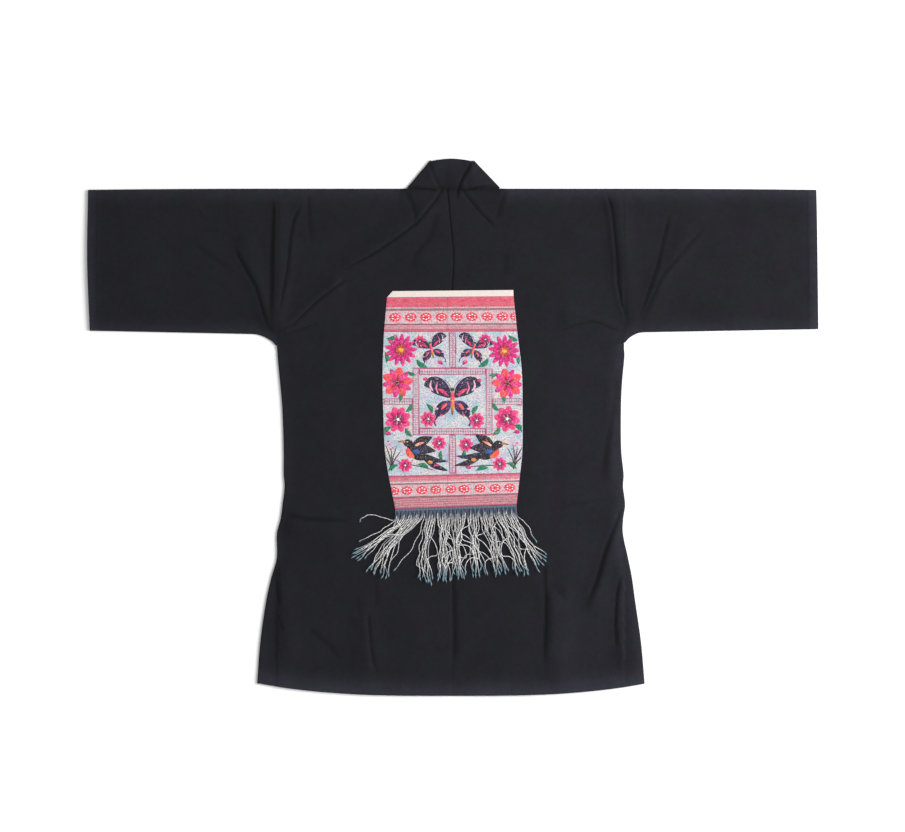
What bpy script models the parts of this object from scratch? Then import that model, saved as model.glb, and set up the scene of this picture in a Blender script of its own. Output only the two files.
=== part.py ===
"""Kimono coat laid out flat with its back up.

Metres, +Z up, the floor at Z = 0. X runs across the coat and +Y from the hem to the collar.
The coat is cut as a kimono is: straight panels, square sleeves folded along the shoulder line, and one band
round the neck and down both fronts. An embroidered panel with a knotted fringe is sewn on the back.
"""

import math
from collections import namedtuple

import bmesh
import bpy
from mathutils import Vector
from mathutils.geometry import intersect_point_line

# Driving sizes
COAT_LENGTH = 0.902  # shoulder fold to hem, down the centre back
COLLAR_STAND = 0.054  # the collar above the shoulder fold
CLOTH = 0.0014  # wall of the coat's cloth
BAND_CLOTH = 0.0024  # the collar band, folded double over its stiffening
PANEL_CLOTH = 0.0012  # the embroidered panel
SEAM_GAP = 0.0003
EDGE_HEIGHT = 0.0048  # two layers of cloth at a folded edge
HEM_RISE = 0.022  # the hem curves up this far at each side seam
HEM_HALF = 0.343
GRID = 0.027  # spacing of the sections through the cloth

SHOULDER_Y = (COAT_LENGTH - COLLAR_STAND) / 2
HEM_Y = SHOULDER_Y - COAT_LENGTH

LEFT, RIGHT = -1, 1

# Half widths of the body, seen from behind, at each level below the shoulder
Level = namedtuple("Level", "name below_shoulder left right")
BODY_LEVELS = (
    Level("shoulder", 0.000, 0.3120, 0.3050),
    Level("underarm", 0.280, 0.3120, 0.3050),
    Level("side_top", 0.294, 0.3114, 0.3060),
    Level("bust", 0.305, 0.3106, 0.3054),
    Level("midriff", 0.348, 0.3065, 0.3015),
    Level("ribs", 0.391, 0.3028, 0.2998),
    Level("waist", 0.466, 0.3003, 0.3003),
    Level("waist_low", 0.509, 0.3003, 0.3045),
    Level("side_tuck", 0.530, 0.2988, 0.3035),
    Level("side_fold", 0.562, 0.3024, 0.3071),
    Level("notch", 0.588, 0.3060, 0.3037),
    Level("flare", 0.613, 0.3123, 0.3032),
    Level("hip", 0.658, 0.3128, 0.3126),
    Level("hip_low", 0.690, 0.3218, 0.3190),
    Level("thigh", 0.733, 0.3314, 0.3250),
    Level("skirt", 0.808, 0.3421, 0.3356),
    Level("hem", 0.884, 0.3478, 0.3422),
)

# Each sleeve: where it starts and ends across, and the height of its lower seam
Arm = namedtuple(
    "Arm", "armhole cuff_top cuff_middle cuff_low underarm_y corner_reach lower_y lower_cuff_y top_cuff_y"
)
ARMS = {
    LEFT: Arm(0.3120, 0.6480, 0.6495, 0.6450, 0.1450, 0.045, 0.1645, 0.1714, 0.4220),
    RIGHT: Arm(0.3050, 0.6470, 0.6490, 0.6505, 0.1500, 0.036, 0.1680, 0.1742, 0.4220),
}

# The largest folds of the back and the sleeves' upper layer: a line on the cloth, its rise, half its width
Fold = namedtuple("Fold", "name start_x start_y end_x end_y rise half_width")
FOLDS = (
    Fold("neck_drape", -0.048, 0.386, -0.178, 0.296, 0.0042, 0.018),
    Fold("chest_drape", -0.200, 0.263, -0.296, 0.180, 0.0044, 0.018),
    Fold("left_armhole", -0.309, 0.395, -0.311, 0.185, 0.0036, 0.014),
    Fold("left_sleeve", -0.366, 0.328, -0.326, 0.186, 0.0036, 0.018),
    Fold("right_armhole", 0.292, 0.405, 0.318, 0.190, 0.0050, 0.018),
    Fold("right_sleeve", 0.412, 0.340, 0.344, 0.200, 0.0036, 0.020),
    Fold("right_chest", 0.205, 0.192, 0.285, 0.184, 0.0028, 0.016),
    Fold("right_waist", 0.292, 0.060, 0.284, -0.080, 0.0030, 0.016),
    Fold("left_waist", -0.284, -0.176, -0.222, -0.180, 0.0034, 0.018),
    Fold("right_hip", 0.302, -0.166, 0.256, -0.310, 0.0050, 0.020),
    Fold("left_hip", -0.300, -0.260, -0.290, -0.400, 0.0034, 0.018),
    Fold("left_skirt", -0.162, -0.340, -0.154, -0.450, 0.0034, 0.022),
    Fold("right_skirt", 0.187, -0.300, 0.187, -0.440, 0.0050, 0.024),
    Fold("right_side", 0.304, -0.250, 0.305, -0.410, 0.0034, 0.014),
)
BILLOW = 0.0008  # the cloth's slow rise and fall between the folds
UNDERARM_TURN = 0.020  # below the sleeve, the back turns down to its side seam over this length
SEAM_LEVEL = 0.008
SEAM_DIP = 0.0009  # the centre back seam draws the cloth down
EASE_FROM_EDGE = 0.028  # folds fade out over this distance from a folded edge
NECK_SIDE = 0.095  # folds run on up to the collar between here and the centre
NECK_EASE = 3

# The cloth lies level under the embroidered panel and its fringe
LEVEL_LEFT, LEVEL_RIGHT, LEVEL_LOW, LEVEL_TOP = -0.184, 0.178, -0.284, 0.250
LEVEL_FADE = 0.030

# The embroidered panel's edges, seen from behind, from its top to its lower edge
PanelLevel = namedtuple("PanelLevel", "name left_x left_y right_x right_y")
PANEL_LEVELS = (
    PanelLevel("top", -0.1065, 0.2415, 0.1080, 0.2435),
    PanelLevel("heading", -0.1165, 0.2305, 0.1085, 0.2325),
    PanelLevel("border", -0.1218, 0.1690, 0.1149, 0.1700),
    PanelLevel("upper", -0.1243, 0.0980, 0.1232, 0.0980),
    PanelLevel("middle", -0.1232, 0.0270, 0.1245, 0.0270),
    PanelLevel("lower", -0.1200, -0.0440, 0.1240, -0.0440),
    PanelLevel("field_end", -0.1135, -0.0870, 0.1203, -0.0815),
    PanelLevel("end", -0.1019, -0.1458, 0.1141, -0.1375),
)
PANEL_UNDERSIDE = EDGE_HEIGHT + SEAM_GAP

# The fringe hangs in locks: each gathers its cords at a waist and spreads them again between two tips
Lock = namedtuple("Lock", "name cords waist_x waist_y waist_wide first_x first_y last_x last_y")
LOCKS = (
    Lock("stray_high", 1, -0.1440, -0.1560, 0, -0.1700, -0.1690, -0.1700, -0.1690),
    Lock("stray_left", 1, -0.1330, -0.1860, 0, -0.1660, -0.2040, -0.1660, -0.2040),
    Lock("left_high", 9, -0.1230, -0.1950, 0.016, -0.1790, -0.2200, -0.1640, -0.2400),
    Lock("left_low", 12, -0.1130, -0.2150, 0.020, -0.1540, -0.2530, -0.1130, -0.2680),
    Lock("stray_across", 1, -0.0740, -0.2150, 0, -0.1040, -0.2560, -0.1040, -0.2560),
    Lock("inner_left", 9, -0.0500, -0.2200, 0.020, -0.0610, -0.2680, -0.0330, -0.2780),
    Lock("middle_left", 11, -0.0170, -0.2150, 0.020, -0.0260, -0.2700, -0.0060, -0.2720),
    Lock("middle", 12, 0.0080, -0.2150, 0.020, 0.0010, -0.2690, 0.0240, -0.2640),
    Lock("middle_right", 10, 0.0390, -0.2060, 0.016, 0.0340, -0.2650, 0.0630, -0.2600),
    Lock("right_low", 11, 0.0730, -0.2080, 0.024, 0.0720, -0.2620, 0.1010, -0.2560),
    Lock("right", 10, 0.1080, -0.2090, 0.024, 0.1100, -0.2590, 0.1410, -0.2620),
    Lock("far_right", 8, 0.1330, -0.2040, 0.016, 0.1480, -0.2550, 0.1700, -0.2280),
    Lock("stray_right", 1, 0.1370, -0.1790, 0, 0.1500, -0.2060, 0.1500, -0.2060),
)
STRANDS = sum(lock.cords for lock in LOCKS)
STRAND_SIDE = 0.0013  # each twisted cord, as a square rod
STRAND_STEP = 0.0016  # cords cross at four heights, this far apart
LEVEL_ORDER = (0, 2, 1, 3)
STRAND_SECTIONS = (0.07, 0.18, 0.32, 0.46, 0.60, 0.80, 1.00)
STRAIGHT_ROOT = 0.015  # the cords leave the header straight for this length
WAIST_AT = 0.58  # the waist's place along a cord
CORD_SWAY = 0.0016
CORD_UNEVEN = 0.006  # the cords of a lock end this much higher or lower
HEADER_DEPTH = 0.0045
HEADER_THICK = 0.0016
CELL_RIM = 0.0002  # left round each cord's root

BLACK_CLOTH = ("black_cloth", (0.018, 0.018, 0.022), 0.85)
PALE_LINEN = ("pale_linen", (0.80, 0.74, 0.70), 0.80)
RED_WEAVE = ("red_weave", (0.72, 0.10, 0.16), 0.75)
STITCHED_GROUND = ("stitched_ground", (0.68, 0.72, 0.76), 0.70)
FRINGE_CORD = ("fringe_cord", (0.62, 0.62, 0.60), 0.75)


def clear_scene():
    for thing in list(bpy.data.objects):
        bpy.data.objects.remove(thing)


def finish_of(choice):
    name, colour, roughness = choice
    material = bpy.data.materials.get(name)
    if material is None:
        material = bpy.data.materials.new(name)
        material.use_nodes = True
        shader = material.node_tree.nodes["Principled BSDF"]
        shader.inputs["Base Color"].default_value = (*colour, 1)
        shader.inputs["Roughness"].default_value = roughness
        shader.inputs["Metallic"].default_value = 0
    return material


def smooth_step(value):
    held = min(max(value, 0), 1)
    return held * held * (3 - 2 * held)


def through(knots, values, at):
    """A smooth curve through the values, held level past both ends."""
    if at <= knots[0]:
        return values[0]
    if at >= knots[-1]:
        return values[-1]
    i = next(n for n in range(len(knots) - 1) if at <= knots[n + 1])
    slopes = []
    for k in (i, i + 1):
        before, after = max(k - 1, 0), min(k + 1, len(knots) - 1)
        slopes.append((values[after] - values[before]) / (knots[after] - knots[before]))
    span = knots[i + 1] - knots[i]
    t = (at - knots[i]) / span
    return (
        (2 * t**3 - 3 * t**2 + 1) * values[i]
        + (t**3 - 2 * t**2 + t) * span * slopes[0]
        + (3 * t**2 - 2 * t**3) * values[i + 1]
        + (t**3 - t**2) * span * slopes[1]
    )


def half_width(side, y):
    knots = [level.below_shoulder for level in BODY_LEVELS]
    widths = [level.left if side == LEFT else level.right for level in BODY_LEVELS]
    return through(knots, widths, SHOULDER_Y - y)


def hem_y(x):
    return HEM_Y + HEM_RISE * min(abs(x) / HEM_HALF, 1) ** 3


def off_seam(side, x):
    """Distance out from the armhole seam, slowed down beside it, so that the cloth runs level across it."""
    out = abs(x) - ARMS[side].armhole
    return out * smooth_step(abs(out) / SEAM_LEVEL)


def sleeve_edges(side, x):
    """The sleeve's lower seam and its shoulder fold at this place across."""
    arm = ARMS[side]
    out = off_seam(side, x)
    share = out / (arm.cuff_middle - arm.armhole)
    drop = (arm.lower_y - arm.underarm_y) * max(1 - out / arm.corner_reach, 0) ** 2
    lower = arm.lower_y + (arm.lower_cuff_y - arm.lower_y) * share - drop
    return lower, SHOULDER_Y + (arm.top_cuff_y - SHOULDER_Y) * share**2


def distance_to_edge(x, y):
    """How far a point of the back or a sleeve lies from the nearest folded edge."""
    side = LEFT if x < 0 else RIGHT
    arm = ARMS[side]
    if abs(x) > arm.armhole:
        lower, upper = sleeve_edges(side, x)
        return max(min(upper - y, y - lower), 0)
    to_side = max(half_width(side, y) - abs(x), 0)
    if y > arm.underarm_y:
        to_side = math.hypot(to_side, y - arm.underarm_y)
    beside_neck = max(NECK_SIDE - abs(x), 0) * NECK_EASE
    return min(SHOULDER_Y - y + beside_neck, to_side)


def off_the_level(x, y):
    """Nought where the panel and fringe lie on the cloth, rising to one around them."""
    outside = max(LEVEL_LEFT - x, x - LEVEL_RIGHT, LEVEL_LOW - y, y - LEVEL_TOP)
    return smooth_step(outside / LEVEL_FADE)


def back_height(x, y):
    """Height of the coat's upper face above the floor."""
    side = LEFT if x < 0 else RIGHT
    x = side * (ARMS[side].armhole + off_seam(side, x))
    place = Vector((x, y, 0))
    relief = BILLOW * (1 + math.sin(23 * x + 9 * y) * math.sin(17 * y - 5 * x + 0.8))
    for fold in FOLDS:
        start = Vector((fold.start_x, fold.start_y, 0))
        end = Vector((fold.end_x, fold.end_y, 0))
        nearest, along = intersect_point_line(place, start, end)
        nearest = start.lerp(end, min(max(along, 0), 1))
        relief += fold.rise * math.exp(-(((place - nearest).length / fold.half_width) ** 2))
    ease = smooth_step(distance_to_edge(x, y) / EASE_FROM_EDGE)
    return EDGE_HEIGHT + relief * ease * off_the_level(x, y)


# How a cloth turns over a folded edge, from its end on the floor: inset from the outline, share of height
Turn = namedtuple("Turn", "inset height flat_inset")
TURNS = (
    Turn(0.0000, 0.00, 0.0000),
    Turn(0.0000, 0.50, 0.0010),
    Turn(0.0007, 0.86, 0.0020),
    Turn(0.0024, 1.00, 0.0036),
)


def stations(length):
    """Even shares from 0 to 1 for sections about a grid step apart."""
    count = max(round(length / GRID), 2)
    return [n / count for n in range(count + 1)]


def cloth_sheet(name, columns, rows, place, material, wall, offset=-1, turn_over=False, tube=False):
    """A grid of cloth put in place section by section, then given its wall."""
    shape = bmesh.new()
    bmesh.ops.create_grid(shape, x_segments=len(columns) - 1, y_segments=len(rows) - 1, size=0.5)
    for vertex in shape.verts:
        column = columns[round((vertex.co.x + 0.5) * (len(columns) - 1))]
        row = rows[round((vertex.co.y + 0.5) * (len(rows) - 1))]
        vertex.co = place(column, row)
    if tube:
        bmesh.ops.remove_doubles(shape, verts=shape.verts, dist=1e-6)
    if turn_over:
        bmesh.ops.reverse_faces(shape, faces=shape.faces)
    mesh = bpy.data.meshes.new(name)
    shape.to_mesh(mesh)
    shape.free()
    mesh.materials.append(finish_of(material))
    mesh.shade_smooth()
    cloth = bpy.data.objects.new(name, mesh)
    COAT.objects.link(cloth)
    thicken = cloth.modifiers.new("wall", "SOLIDIFY")
    thicken.thickness = wall
    thicken.offset = offset
    thicken.use_even_offset = True
    thicken.use_quality_normals = True
    return cloth


def flat_piece(name, outline, low, thickness, material):
    """A level piece of cloth cut to an outline."""
    curve = bpy.data.curves.new(name, "CURVE")
    curve.dimensions = "2D"
    curve.fill_mode = "BOTH"
    curve.extrude = thickness / 2
    spline = curve.splines.new("POLY")
    spline.points.add(len(outline) - 1)
    for point, (x, y) in zip(spline.points, outline):
        point.co = (x, y, 0, 1)
    spline.use_cyclic_u = True
    curve.materials.append(finish_of(material))
    piece = bpy.data.objects.new(name, curve)
    piece.location.z = low + thickness / 2
    COAT.objects.link(piece)
    return piece


NECK_COLUMNS = (SEAM_GAP / 2, 0.004, 0.014, 0.037, 0.060)
FLOOR_EDGE = 0.0003  # a turned edge ends this high, to keep its wall's inner corner off the floor


def back_panel(side):
    """One half of the back, from the centre seam to the side and from the shoulder fold to the hem."""
    arm = ARMS[side]
    neck = NECK_TURN[side]
    fixed = (*NECK_COLUMNS, neck, neck + NECK_TURN_FADE)
    columns = [("fixed", at) for at in fixed]
    columns += [("share", share) for share in stations(arm.armhole - fixed[-1])[1:-1]]
    columns += [("turn", turn) for turn in reversed(TURNS)]
    above, below = arm.underarm_y, arm.underarm_y - UNDERARM_TURN
    rows = [("turn", turn) for turn in TURNS]
    straight = SHOULDER_Y - above
    rows += [("level", SHOULDER_Y - straight * share) for share in stations(straight)[1:]]
    rows += [("level", below)] + [("share", share) for share in stations(below - HEM_Y)[1:]]

    def across_at(column, y):
        """Distance from the centre, and the share of the full height, of a column at this level."""
        kind, at = column
        edge = arm.armhole if y > above - 0.0001 else half_width(side, y)
        if kind == "fixed":
            return at, 1
        if kind == "share":
            return fixed[-1] + (edge - TURNS[-1].flat_inset - fixed[-1]) * at, 1
        turned = smooth_step((above - y) / (above - below))
        return edge - at.flat_inset - (at.inset - at.flat_inset) * turned, 1 + (at.height - 1) * turned

    def place(column, row):
        kind, at = row
        if kind == "turn":
            across, side_height = across_at(column, SHOULDER_Y)
            folded = smooth_step((across - neck) / NECK_TURN_FADE)
            y = SHOULDER_Y - at.flat_inset - (at.inset - at.flat_inset) * folded
            top_height = 1 + (at.height - 1) * folded
        elif kind == "level":
            y, top_height = at, 1
            across, side_height = across_at(column, y)
        else:
            across, top_height = 0.2, 1
            for _ in range(3):
                y = below + (hem_y(across) - below) * at
                across, side_height = across_at(column, y)
        dip = SEAM_DIP if column == columns[0] else SEAM_DIP / 3 if column == columns[1] else 0
        x = side * across
        return Vector((x, y, max((back_height(x, y) - dip) * side_height * top_height, FLOOR_EDGE)))

    name = "back_left" if side == LEFT else "back_right"
    cloth_sheet(name, columns, rows, place, BLACK_CLOTH, CLOTH, turn_over=side == RIGHT)


SEAM_COLUMNS = (0, 0.005, 0.025)
UNDER_LAYER = (0.985, 0.75, 0.5, 0.25, 0.015)


def sleeve(side):
    """A square sleeve: one cloth from its lower seam over the shoulder fold and back, open at both ends."""
    arm = ARMS[side]
    columns = list(SEAM_COLUMNS) + stations(arm.cuff_middle - arm.armhole)[1:]
    inner = stations(SHOULDER_Y - arm.lower_y)[1:-1]
    upper = [("upper", turn, 0) for turn in TURNS] + [("upper", None, share) for share in inner]
    upper += [("upper_low", turn, 1) for turn in reversed(TURNS)]
    under = [("under", None, share) for share in UNDER_LAYER]
    rows = upper[1:-1] + under + [upper[1]]

    def place(column, row):
        layer, turn, share = row
        start = arm.armhole + SEAM_GAP
        rough = start + (arm.cuff_middle - start) * column
        lower, top = sleeve_edges(side, side * rough)
        if layer == "under":
            y, height = top + (lower - top) * share, 0
        elif turn is None:
            y, height = top + (lower - top) * share, 1
        else:
            y = top - turn.inset if layer == "upper" else lower + turn.inset
            height = turn.height
        cuff_share = (top - y) / (top - lower)
        cuff = through((0, 0.5, 1), (arm.cuff_top, arm.cuff_middle, arm.cuff_low), cuff_share)
        x = side * (start + (cuff - start) * column)
        return Vector((x, y, back_height(x, y) * height))

    name = "sleeve_left" if side == LEFT else "sleeve_right"
    cloth_sheet(name, columns, rows, place, BLACK_CLOTH, CLOTH, turn_over=side == RIGHT, tube=True)


# The collar's neck stretch, seen from behind: its fold corners on the shoulder line and at the top
NECK_LOW = {LEFT: Vector((-0.0784, SHOULDER_Y + SEAM_GAP)), RIGHT: Vector((0.0823, SHOULDER_Y + SEAM_GAP))}
NECK_HIGH = {LEFT: Vector((-0.0375, 0.4728)), RIGHT: Vector((0.0362, 0.4724))}
NECK_TURN = {LEFT: 0.0840, RIGHT: 0.0890}  # beyond here the shoulder is a fold of the cloth
NECK_TURN_FADE = 0.010
NECK_BOW = 0.0044  # the top edge bows up this far at its middle
NECK_SPANS = 8
NECK_SWELL = 0.0012  # the band stands up in three soft ridges across the neck
BAND_LOW_Z = BAND_CLOTH / 2
BAND_HIGH_Z = 0.0044

# The band down each front, from the neck fold to the hem: its outer and inner edges from the centre
BandLevel = namedtuple("BandLevel", "outer_y outer_x inner_y inner_x")
BAND_LEVELS = (
    BandLevel(0.4120, 0.0780, 0.4480, 0.0340),
    BandLevel(0.3850, 0.0740, 0.4050, 0.0230),
    BandLevel(0.3400, 0.0690, 0.3500, 0.0170),
    BandLevel(0.2600, 0.0640, 0.2600, 0.0120),
    BandLevel(0.1000, 0.0610, 0.1000, 0.0090),
    BandLevel(-0.1000, 0.0600, -0.1000, 0.0080),
    BandLevel(-0.3000, 0.0600, -0.3000, 0.0080),
    BandLevel(-0.4745, 0.0600, -0.4745, 0.0080),
)


def collar_sections():
    """Lines across the band, from the left front's hem round the neck to the right front's hem."""
    fold_radius = (BAND_HIGH_Z - BAND_LOW_Z) / 2

    def front(side):
        return [
            (
                Vector((side * level.outer_x, level.outer_y, BAND_LOW_Z)),
                Vector((side * level.inner_x, level.inner_y, BAND_LOW_Z)),
            )
            for level in reversed(BAND_LEVELS)
        ]

    def fold(side):
        low, high = NECK_LOW[side], NECK_HIGH[side]
        outward = (high - low).orthogonal().normalized()
        if outward.x * side < 0:
            outward = -outward
        lines = []
        for angle in (-90, -45, 0, 45, 90):
            out = outward * fold_radius * math.cos(math.radians(angle))
            z = (BAND_LOW_Z + BAND_HIGH_Z) / 2 + fold_radius * math.sin(math.radians(angle))
            lines.append((Vector((*(low + out), z)), Vector((*(high + out), z))))
        return lines

    neck = []
    for n in range(1, NECK_SPANS):
        share = n / NECK_SPANS
        low = NECK_LOW[LEFT].lerp(NECK_LOW[RIGHT], share)
        high = NECK_HIGH[LEFT].lerp(NECK_HIGH[RIGHT], share)
        high.y += NECK_BOW * math.sin(math.pi * share)
        lift = NECK_SWELL * math.sin(3 * math.pi * share) ** 2
        neck.append((Vector((*low, BAND_HIGH_Z + lift)), Vector((*high, BAND_HIGH_Z + lift / 2))))
    left, right = front(LEFT) + fold(LEFT), front(RIGHT) + fold(RIGHT)
    return left + neck + right[::-1]


def collar_band():
    sections = collar_sections()
    widths = [n / 4 for n in range(5)]

    def place(share, section):
        outer, inner = section
        return outer.lerp(inner, share)

    cloth_sheet("collar_band", widths, sections, place, BLACK_CLOTH, BAND_CLOTH, offset=0)


FRONT_SHORT = 0.003  # the fronts end this far inside the back's hem
FRONT_HALF = 0.340
FRONT_NECK_Y = 0.405
FRONT_NECK_GAP = 0.012
HEM_SPANS = 8


def front_panel(side):
    """A front, flat on the floor under the back, from the side seam to the collar band."""
    arm = ARMS[side]
    under_back = CLOTH + SEAM_GAP

    def hem_inside(x):
        return hem_y(x) + FRONT_SHORT

    def band_edge(y):
        knots = [level.outer_y for level in reversed(BAND_LEVELS)]
        widths = [level.outer_x for level in reversed(BAND_LEVELS)]
        return through(knots, widths, y) + SEAM_GAP

    top = SHOULDER_Y - under_back
    below = arm.underarm_y - UNDERARM_TURN
    side_points = [(side * arm.armhole, top), (side * arm.armhole, arm.underarm_y + 0.001)]
    side_points.append((side * (arm.armhole - under_back), arm.underarm_y))
    for share in stations(below - HEM_Y):
        x = HEM_HALF
        for _ in range(3):
            y = below + (hem_y(x) - below) * share
            x = half_width(side, y)
        side_points.append((side * (x - under_back), max(y, hem_inside(x))))
    hem_points = []
    for n in range(1, HEM_SPANS + 1):
        x = side * (FRONT_HALF + (band_edge(HEM_Y) - FRONT_HALF) * n / HEM_SPANS)
        hem_points.append((x, hem_inside(x)))
    heights = [level.outer_y for level in reversed(BAND_LEVELS[1:-1])] + [FRONT_NECK_Y]
    band_points = [(side * band_edge(y), y) for y in heights]
    corner = [(side * (band_edge(FRONT_NECK_Y) + FRONT_NECK_GAP), top)]
    outline = side_points + hem_points + band_points + corner
    if side == RIGHT:
        outline.reverse()
    name = "front_left" if side == LEFT else "front_right"
    flat_piece(name, outline, 0, CLOTH, BLACK_CLOTH)


def panel_piece(name, first, last, top_gap, low_gap, material):
    """A stretch of the embroidered panel between two of its levels, lying a seam's gap above the back."""
    names = [level.name for level in PANEL_LEVELS]
    used = PANEL_LEVELS[names.index(first) : names.index(last) + 1]
    left_down = [-level.left_y for level in used]
    right_down = [-level.right_y for level in used]
    deep = left_down[-1] - left_down[0]

    def place(across, down):
        gap = top_gap * (down == 0) - low_gap * (down == 1)
        at_left = left_down[0] + deep * down
        at_right = right_down[0] + (right_down[-1] - right_down[0]) * down
        left = Vector((through(left_down, [level.left_x for level in used], at_left), -at_left))
        right = Vector((through(right_down, [level.right_x for level in used], at_right), -at_right))
        x, y = left.lerp(right, across)
        return Vector((x, y - gap, back_height(x, y) + SEAM_GAP + PANEL_CLOTH))

    rows = stations(deep) if deep > GRID else (0, 1)
    across = used[0].right_x - used[0].left_x
    cloth_sheet(name, stations(across), rows, place, material, PANEL_CLOTH, turn_over=True)


def embroidered_panel():
    half_gap = SEAM_GAP / 2
    panel_piece("panel_heading", "top", "heading", 0, half_gap, PALE_LINEN)
    panel_piece("panel_border_top", "heading", "border", half_gap, half_gap, RED_WEAVE)
    panel_piece("panel_field", "border", "field_end", half_gap, half_gap, STITCHED_GROUND)
    panel_piece("panel_border_bottom", "field_end", "end", half_gap, half_gap, RED_WEAVE)


def header_point(share):
    """A point on the seam between the panel's lower edge and the fringe's header."""
    end = PANEL_LEVELS[-1]
    return Vector((end.left_x, end.left_y)).lerp(Vector((end.right_x, end.right_y)), share)


def strand_route(number):
    """The line that a cord of the fringe follows, from its root in the header to its knotted tip."""
    first = 0
    for lock in LOCKS:
        if number < first + lock.cords:
            break
        first += lock.cords
    place = (number - first + 0.5) / lock.cords
    level = LEVEL_ORDER[number % len(LEVEL_ORDER)]
    root = header_point((number + 0.5) / STRANDS) - Vector((0, SEAM_GAP + HEADER_DEPTH))
    waist = Vector((lock.waist_x + (place - 0.5) * lock.waist_wide, lock.waist_y))
    tip = Vector((lock.first_x, lock.first_y)).lerp(Vector((lock.last_x, lock.last_y)), place)
    below = root + Vector((0.08 * (waist.x - root.x), -STRAIGHT_ROOT))
    uneven = CORD_UNEVEN * math.sin(2.4 * number) if lock.cords > 1 else 0
    tip += (tip - waist).normalized() * uneven
    knots = (0, 0.12, WAIST_AT, 1)
    turns = (root, below, waist, tip)
    low = PANEL_UNDERSIDE + STRAND_SIDE / 2
    points = [Vector((*root, PANEL_UNDERSIDE + HEADER_THICK / 2))]
    for at in STRAND_SECTIONS:
        x = through(knots, [turn.x for turn in turns], at)
        y = through(knots, [turn.y for turn in turns], at)
        sway = CORD_SWAY * math.sin(7 * at + 1.9 * level) * smooth_step(at / 0.4)
        points.append(Vector((x + sway, y, low + STRAND_STEP * level)))
    return points


def fringe():
    """A header strip with the cords grown out of its lower face, one from each cell."""
    shape = bmesh.new()
    bmesh.ops.create_grid(shape, x_segments=STRANDS, y_segments=1, size=0.5)
    lower_edge = Vector((0, SEAM_GAP + HEADER_DEPTH))
    for vertex in shape.verts:
        upper = vertex.co.y > 0
        edge = header_point(vertex.co.x + 0.5) - lower_edge
        vertex.co = Vector((*edge, PANEL_UNDERSIDE + (HEADER_THICK if upper else 0)))
    cells = sorted(shape.faces, key=lambda cell: cell.calc_center_median().x)
    grown = bmesh.ops.extrude_face_region(shape, geom=cells)
    moved = [part for part in grown["geom"] if isinstance(part, bmesh.types.BMVert)]
    bmesh.ops.translate(shape, verts=moved, vec=(0, HEADER_DEPTH, 0))
    bmesh.ops.inset_individual(shape, faces=cells, thickness=CELL_RIM)
    for number, face in enumerate(cells):
        route = strand_route(number)
        centre = face.calc_center_median()
        corners = [
            (math.copysign(0.5, vertex.co.x - centre.x), math.copysign(0.5, vertex.co.z - centre.z))
            for vertex in face.verts
        ]
        for n, middle in enumerate(route):
            if n:
                face = bmesh.ops.extrude_discrete_faces(shape, faces=[face])["faces"][0]
            ahead = route[min(n + 1, len(route) - 1)] - route[max(n - 1, 0)]
            across = Vector((-ahead.y, ahead.x, 0)).normalized() if n else Vector((1, 0, 0))
            for vertex, (sideways, upright) in zip(face.verts, corners):
                vertex.co = middle + across * STRAND_SIDE * sideways + Vector((0, 0, STRAND_SIDE * upright))
    bmesh.ops.recalc_face_normals(shape, faces=shape.faces)
    mesh = bpy.data.meshes.new("fringe")
    shape.to_mesh(mesh)
    shape.free()
    mesh.materials.append(finish_of(FRINGE_CORD))
    COAT.objects.link(bpy.data.objects.new("fringe", mesh))


clear_scene()
COAT = bpy.data.collections.new("kimono_coat")
bpy.context.scene.collection.children.link(COAT)
for hand in (LEFT, RIGHT):
    back_panel(hand)
    front_panel(hand)
    sleeve(hand)
collar_band()
embroidered_panel()
fringe()
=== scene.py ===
"""Kimono coat laid flat with its back up: black cloth, an embroidered panel and a knotted fringe.

Metres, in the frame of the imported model: +X to the right of the back view, +Y towards the collar, +Z up.
"""

import math
from collections import namedtuple

import bpy
import numpy as np
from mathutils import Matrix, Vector


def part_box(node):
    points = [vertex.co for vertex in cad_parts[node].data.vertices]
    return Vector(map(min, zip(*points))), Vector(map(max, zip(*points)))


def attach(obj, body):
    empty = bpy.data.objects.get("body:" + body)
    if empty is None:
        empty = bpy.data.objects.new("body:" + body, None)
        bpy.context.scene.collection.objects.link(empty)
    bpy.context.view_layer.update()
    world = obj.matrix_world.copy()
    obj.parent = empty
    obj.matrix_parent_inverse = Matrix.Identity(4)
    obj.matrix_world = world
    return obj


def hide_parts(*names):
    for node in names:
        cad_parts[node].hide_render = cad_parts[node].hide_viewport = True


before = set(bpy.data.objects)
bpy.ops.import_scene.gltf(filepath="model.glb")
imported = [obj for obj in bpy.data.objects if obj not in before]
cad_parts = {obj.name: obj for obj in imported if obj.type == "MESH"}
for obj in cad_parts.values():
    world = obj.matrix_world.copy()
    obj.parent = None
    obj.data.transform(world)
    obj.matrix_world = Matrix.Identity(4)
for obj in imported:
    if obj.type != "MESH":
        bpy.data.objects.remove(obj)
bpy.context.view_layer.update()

# The coat is photographed from straight above, on a plain white floor in a pale studio.
# A wide soft light stands to the right, so the folds are lit on that side, and the room fills in the rest.
MM = 0.001
CAMERA_HEIGHT = 4.0
VIEW_WIDTH = 1.611
VIEW_CENTRE_Y = 0.0196
SENSOR = 36
WHITE = (1, 1, 1, 1)


def add_node(tree, kind, inputs=(), **settings):
    """A shader node with its settings, and its inputs set to values or joined to other nodes' outputs."""
    node = tree.nodes.new(kind)
    for setting, value in settings.items():
        setattr(node, setting, value)
    for socket, value in dict(inputs).items():
        if isinstance(value, bpy.types.NodeSocket):
            tree.links.new(value, node.inputs[socket])
        else:
            node.inputs[socket].default_value = value
    return node


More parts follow.
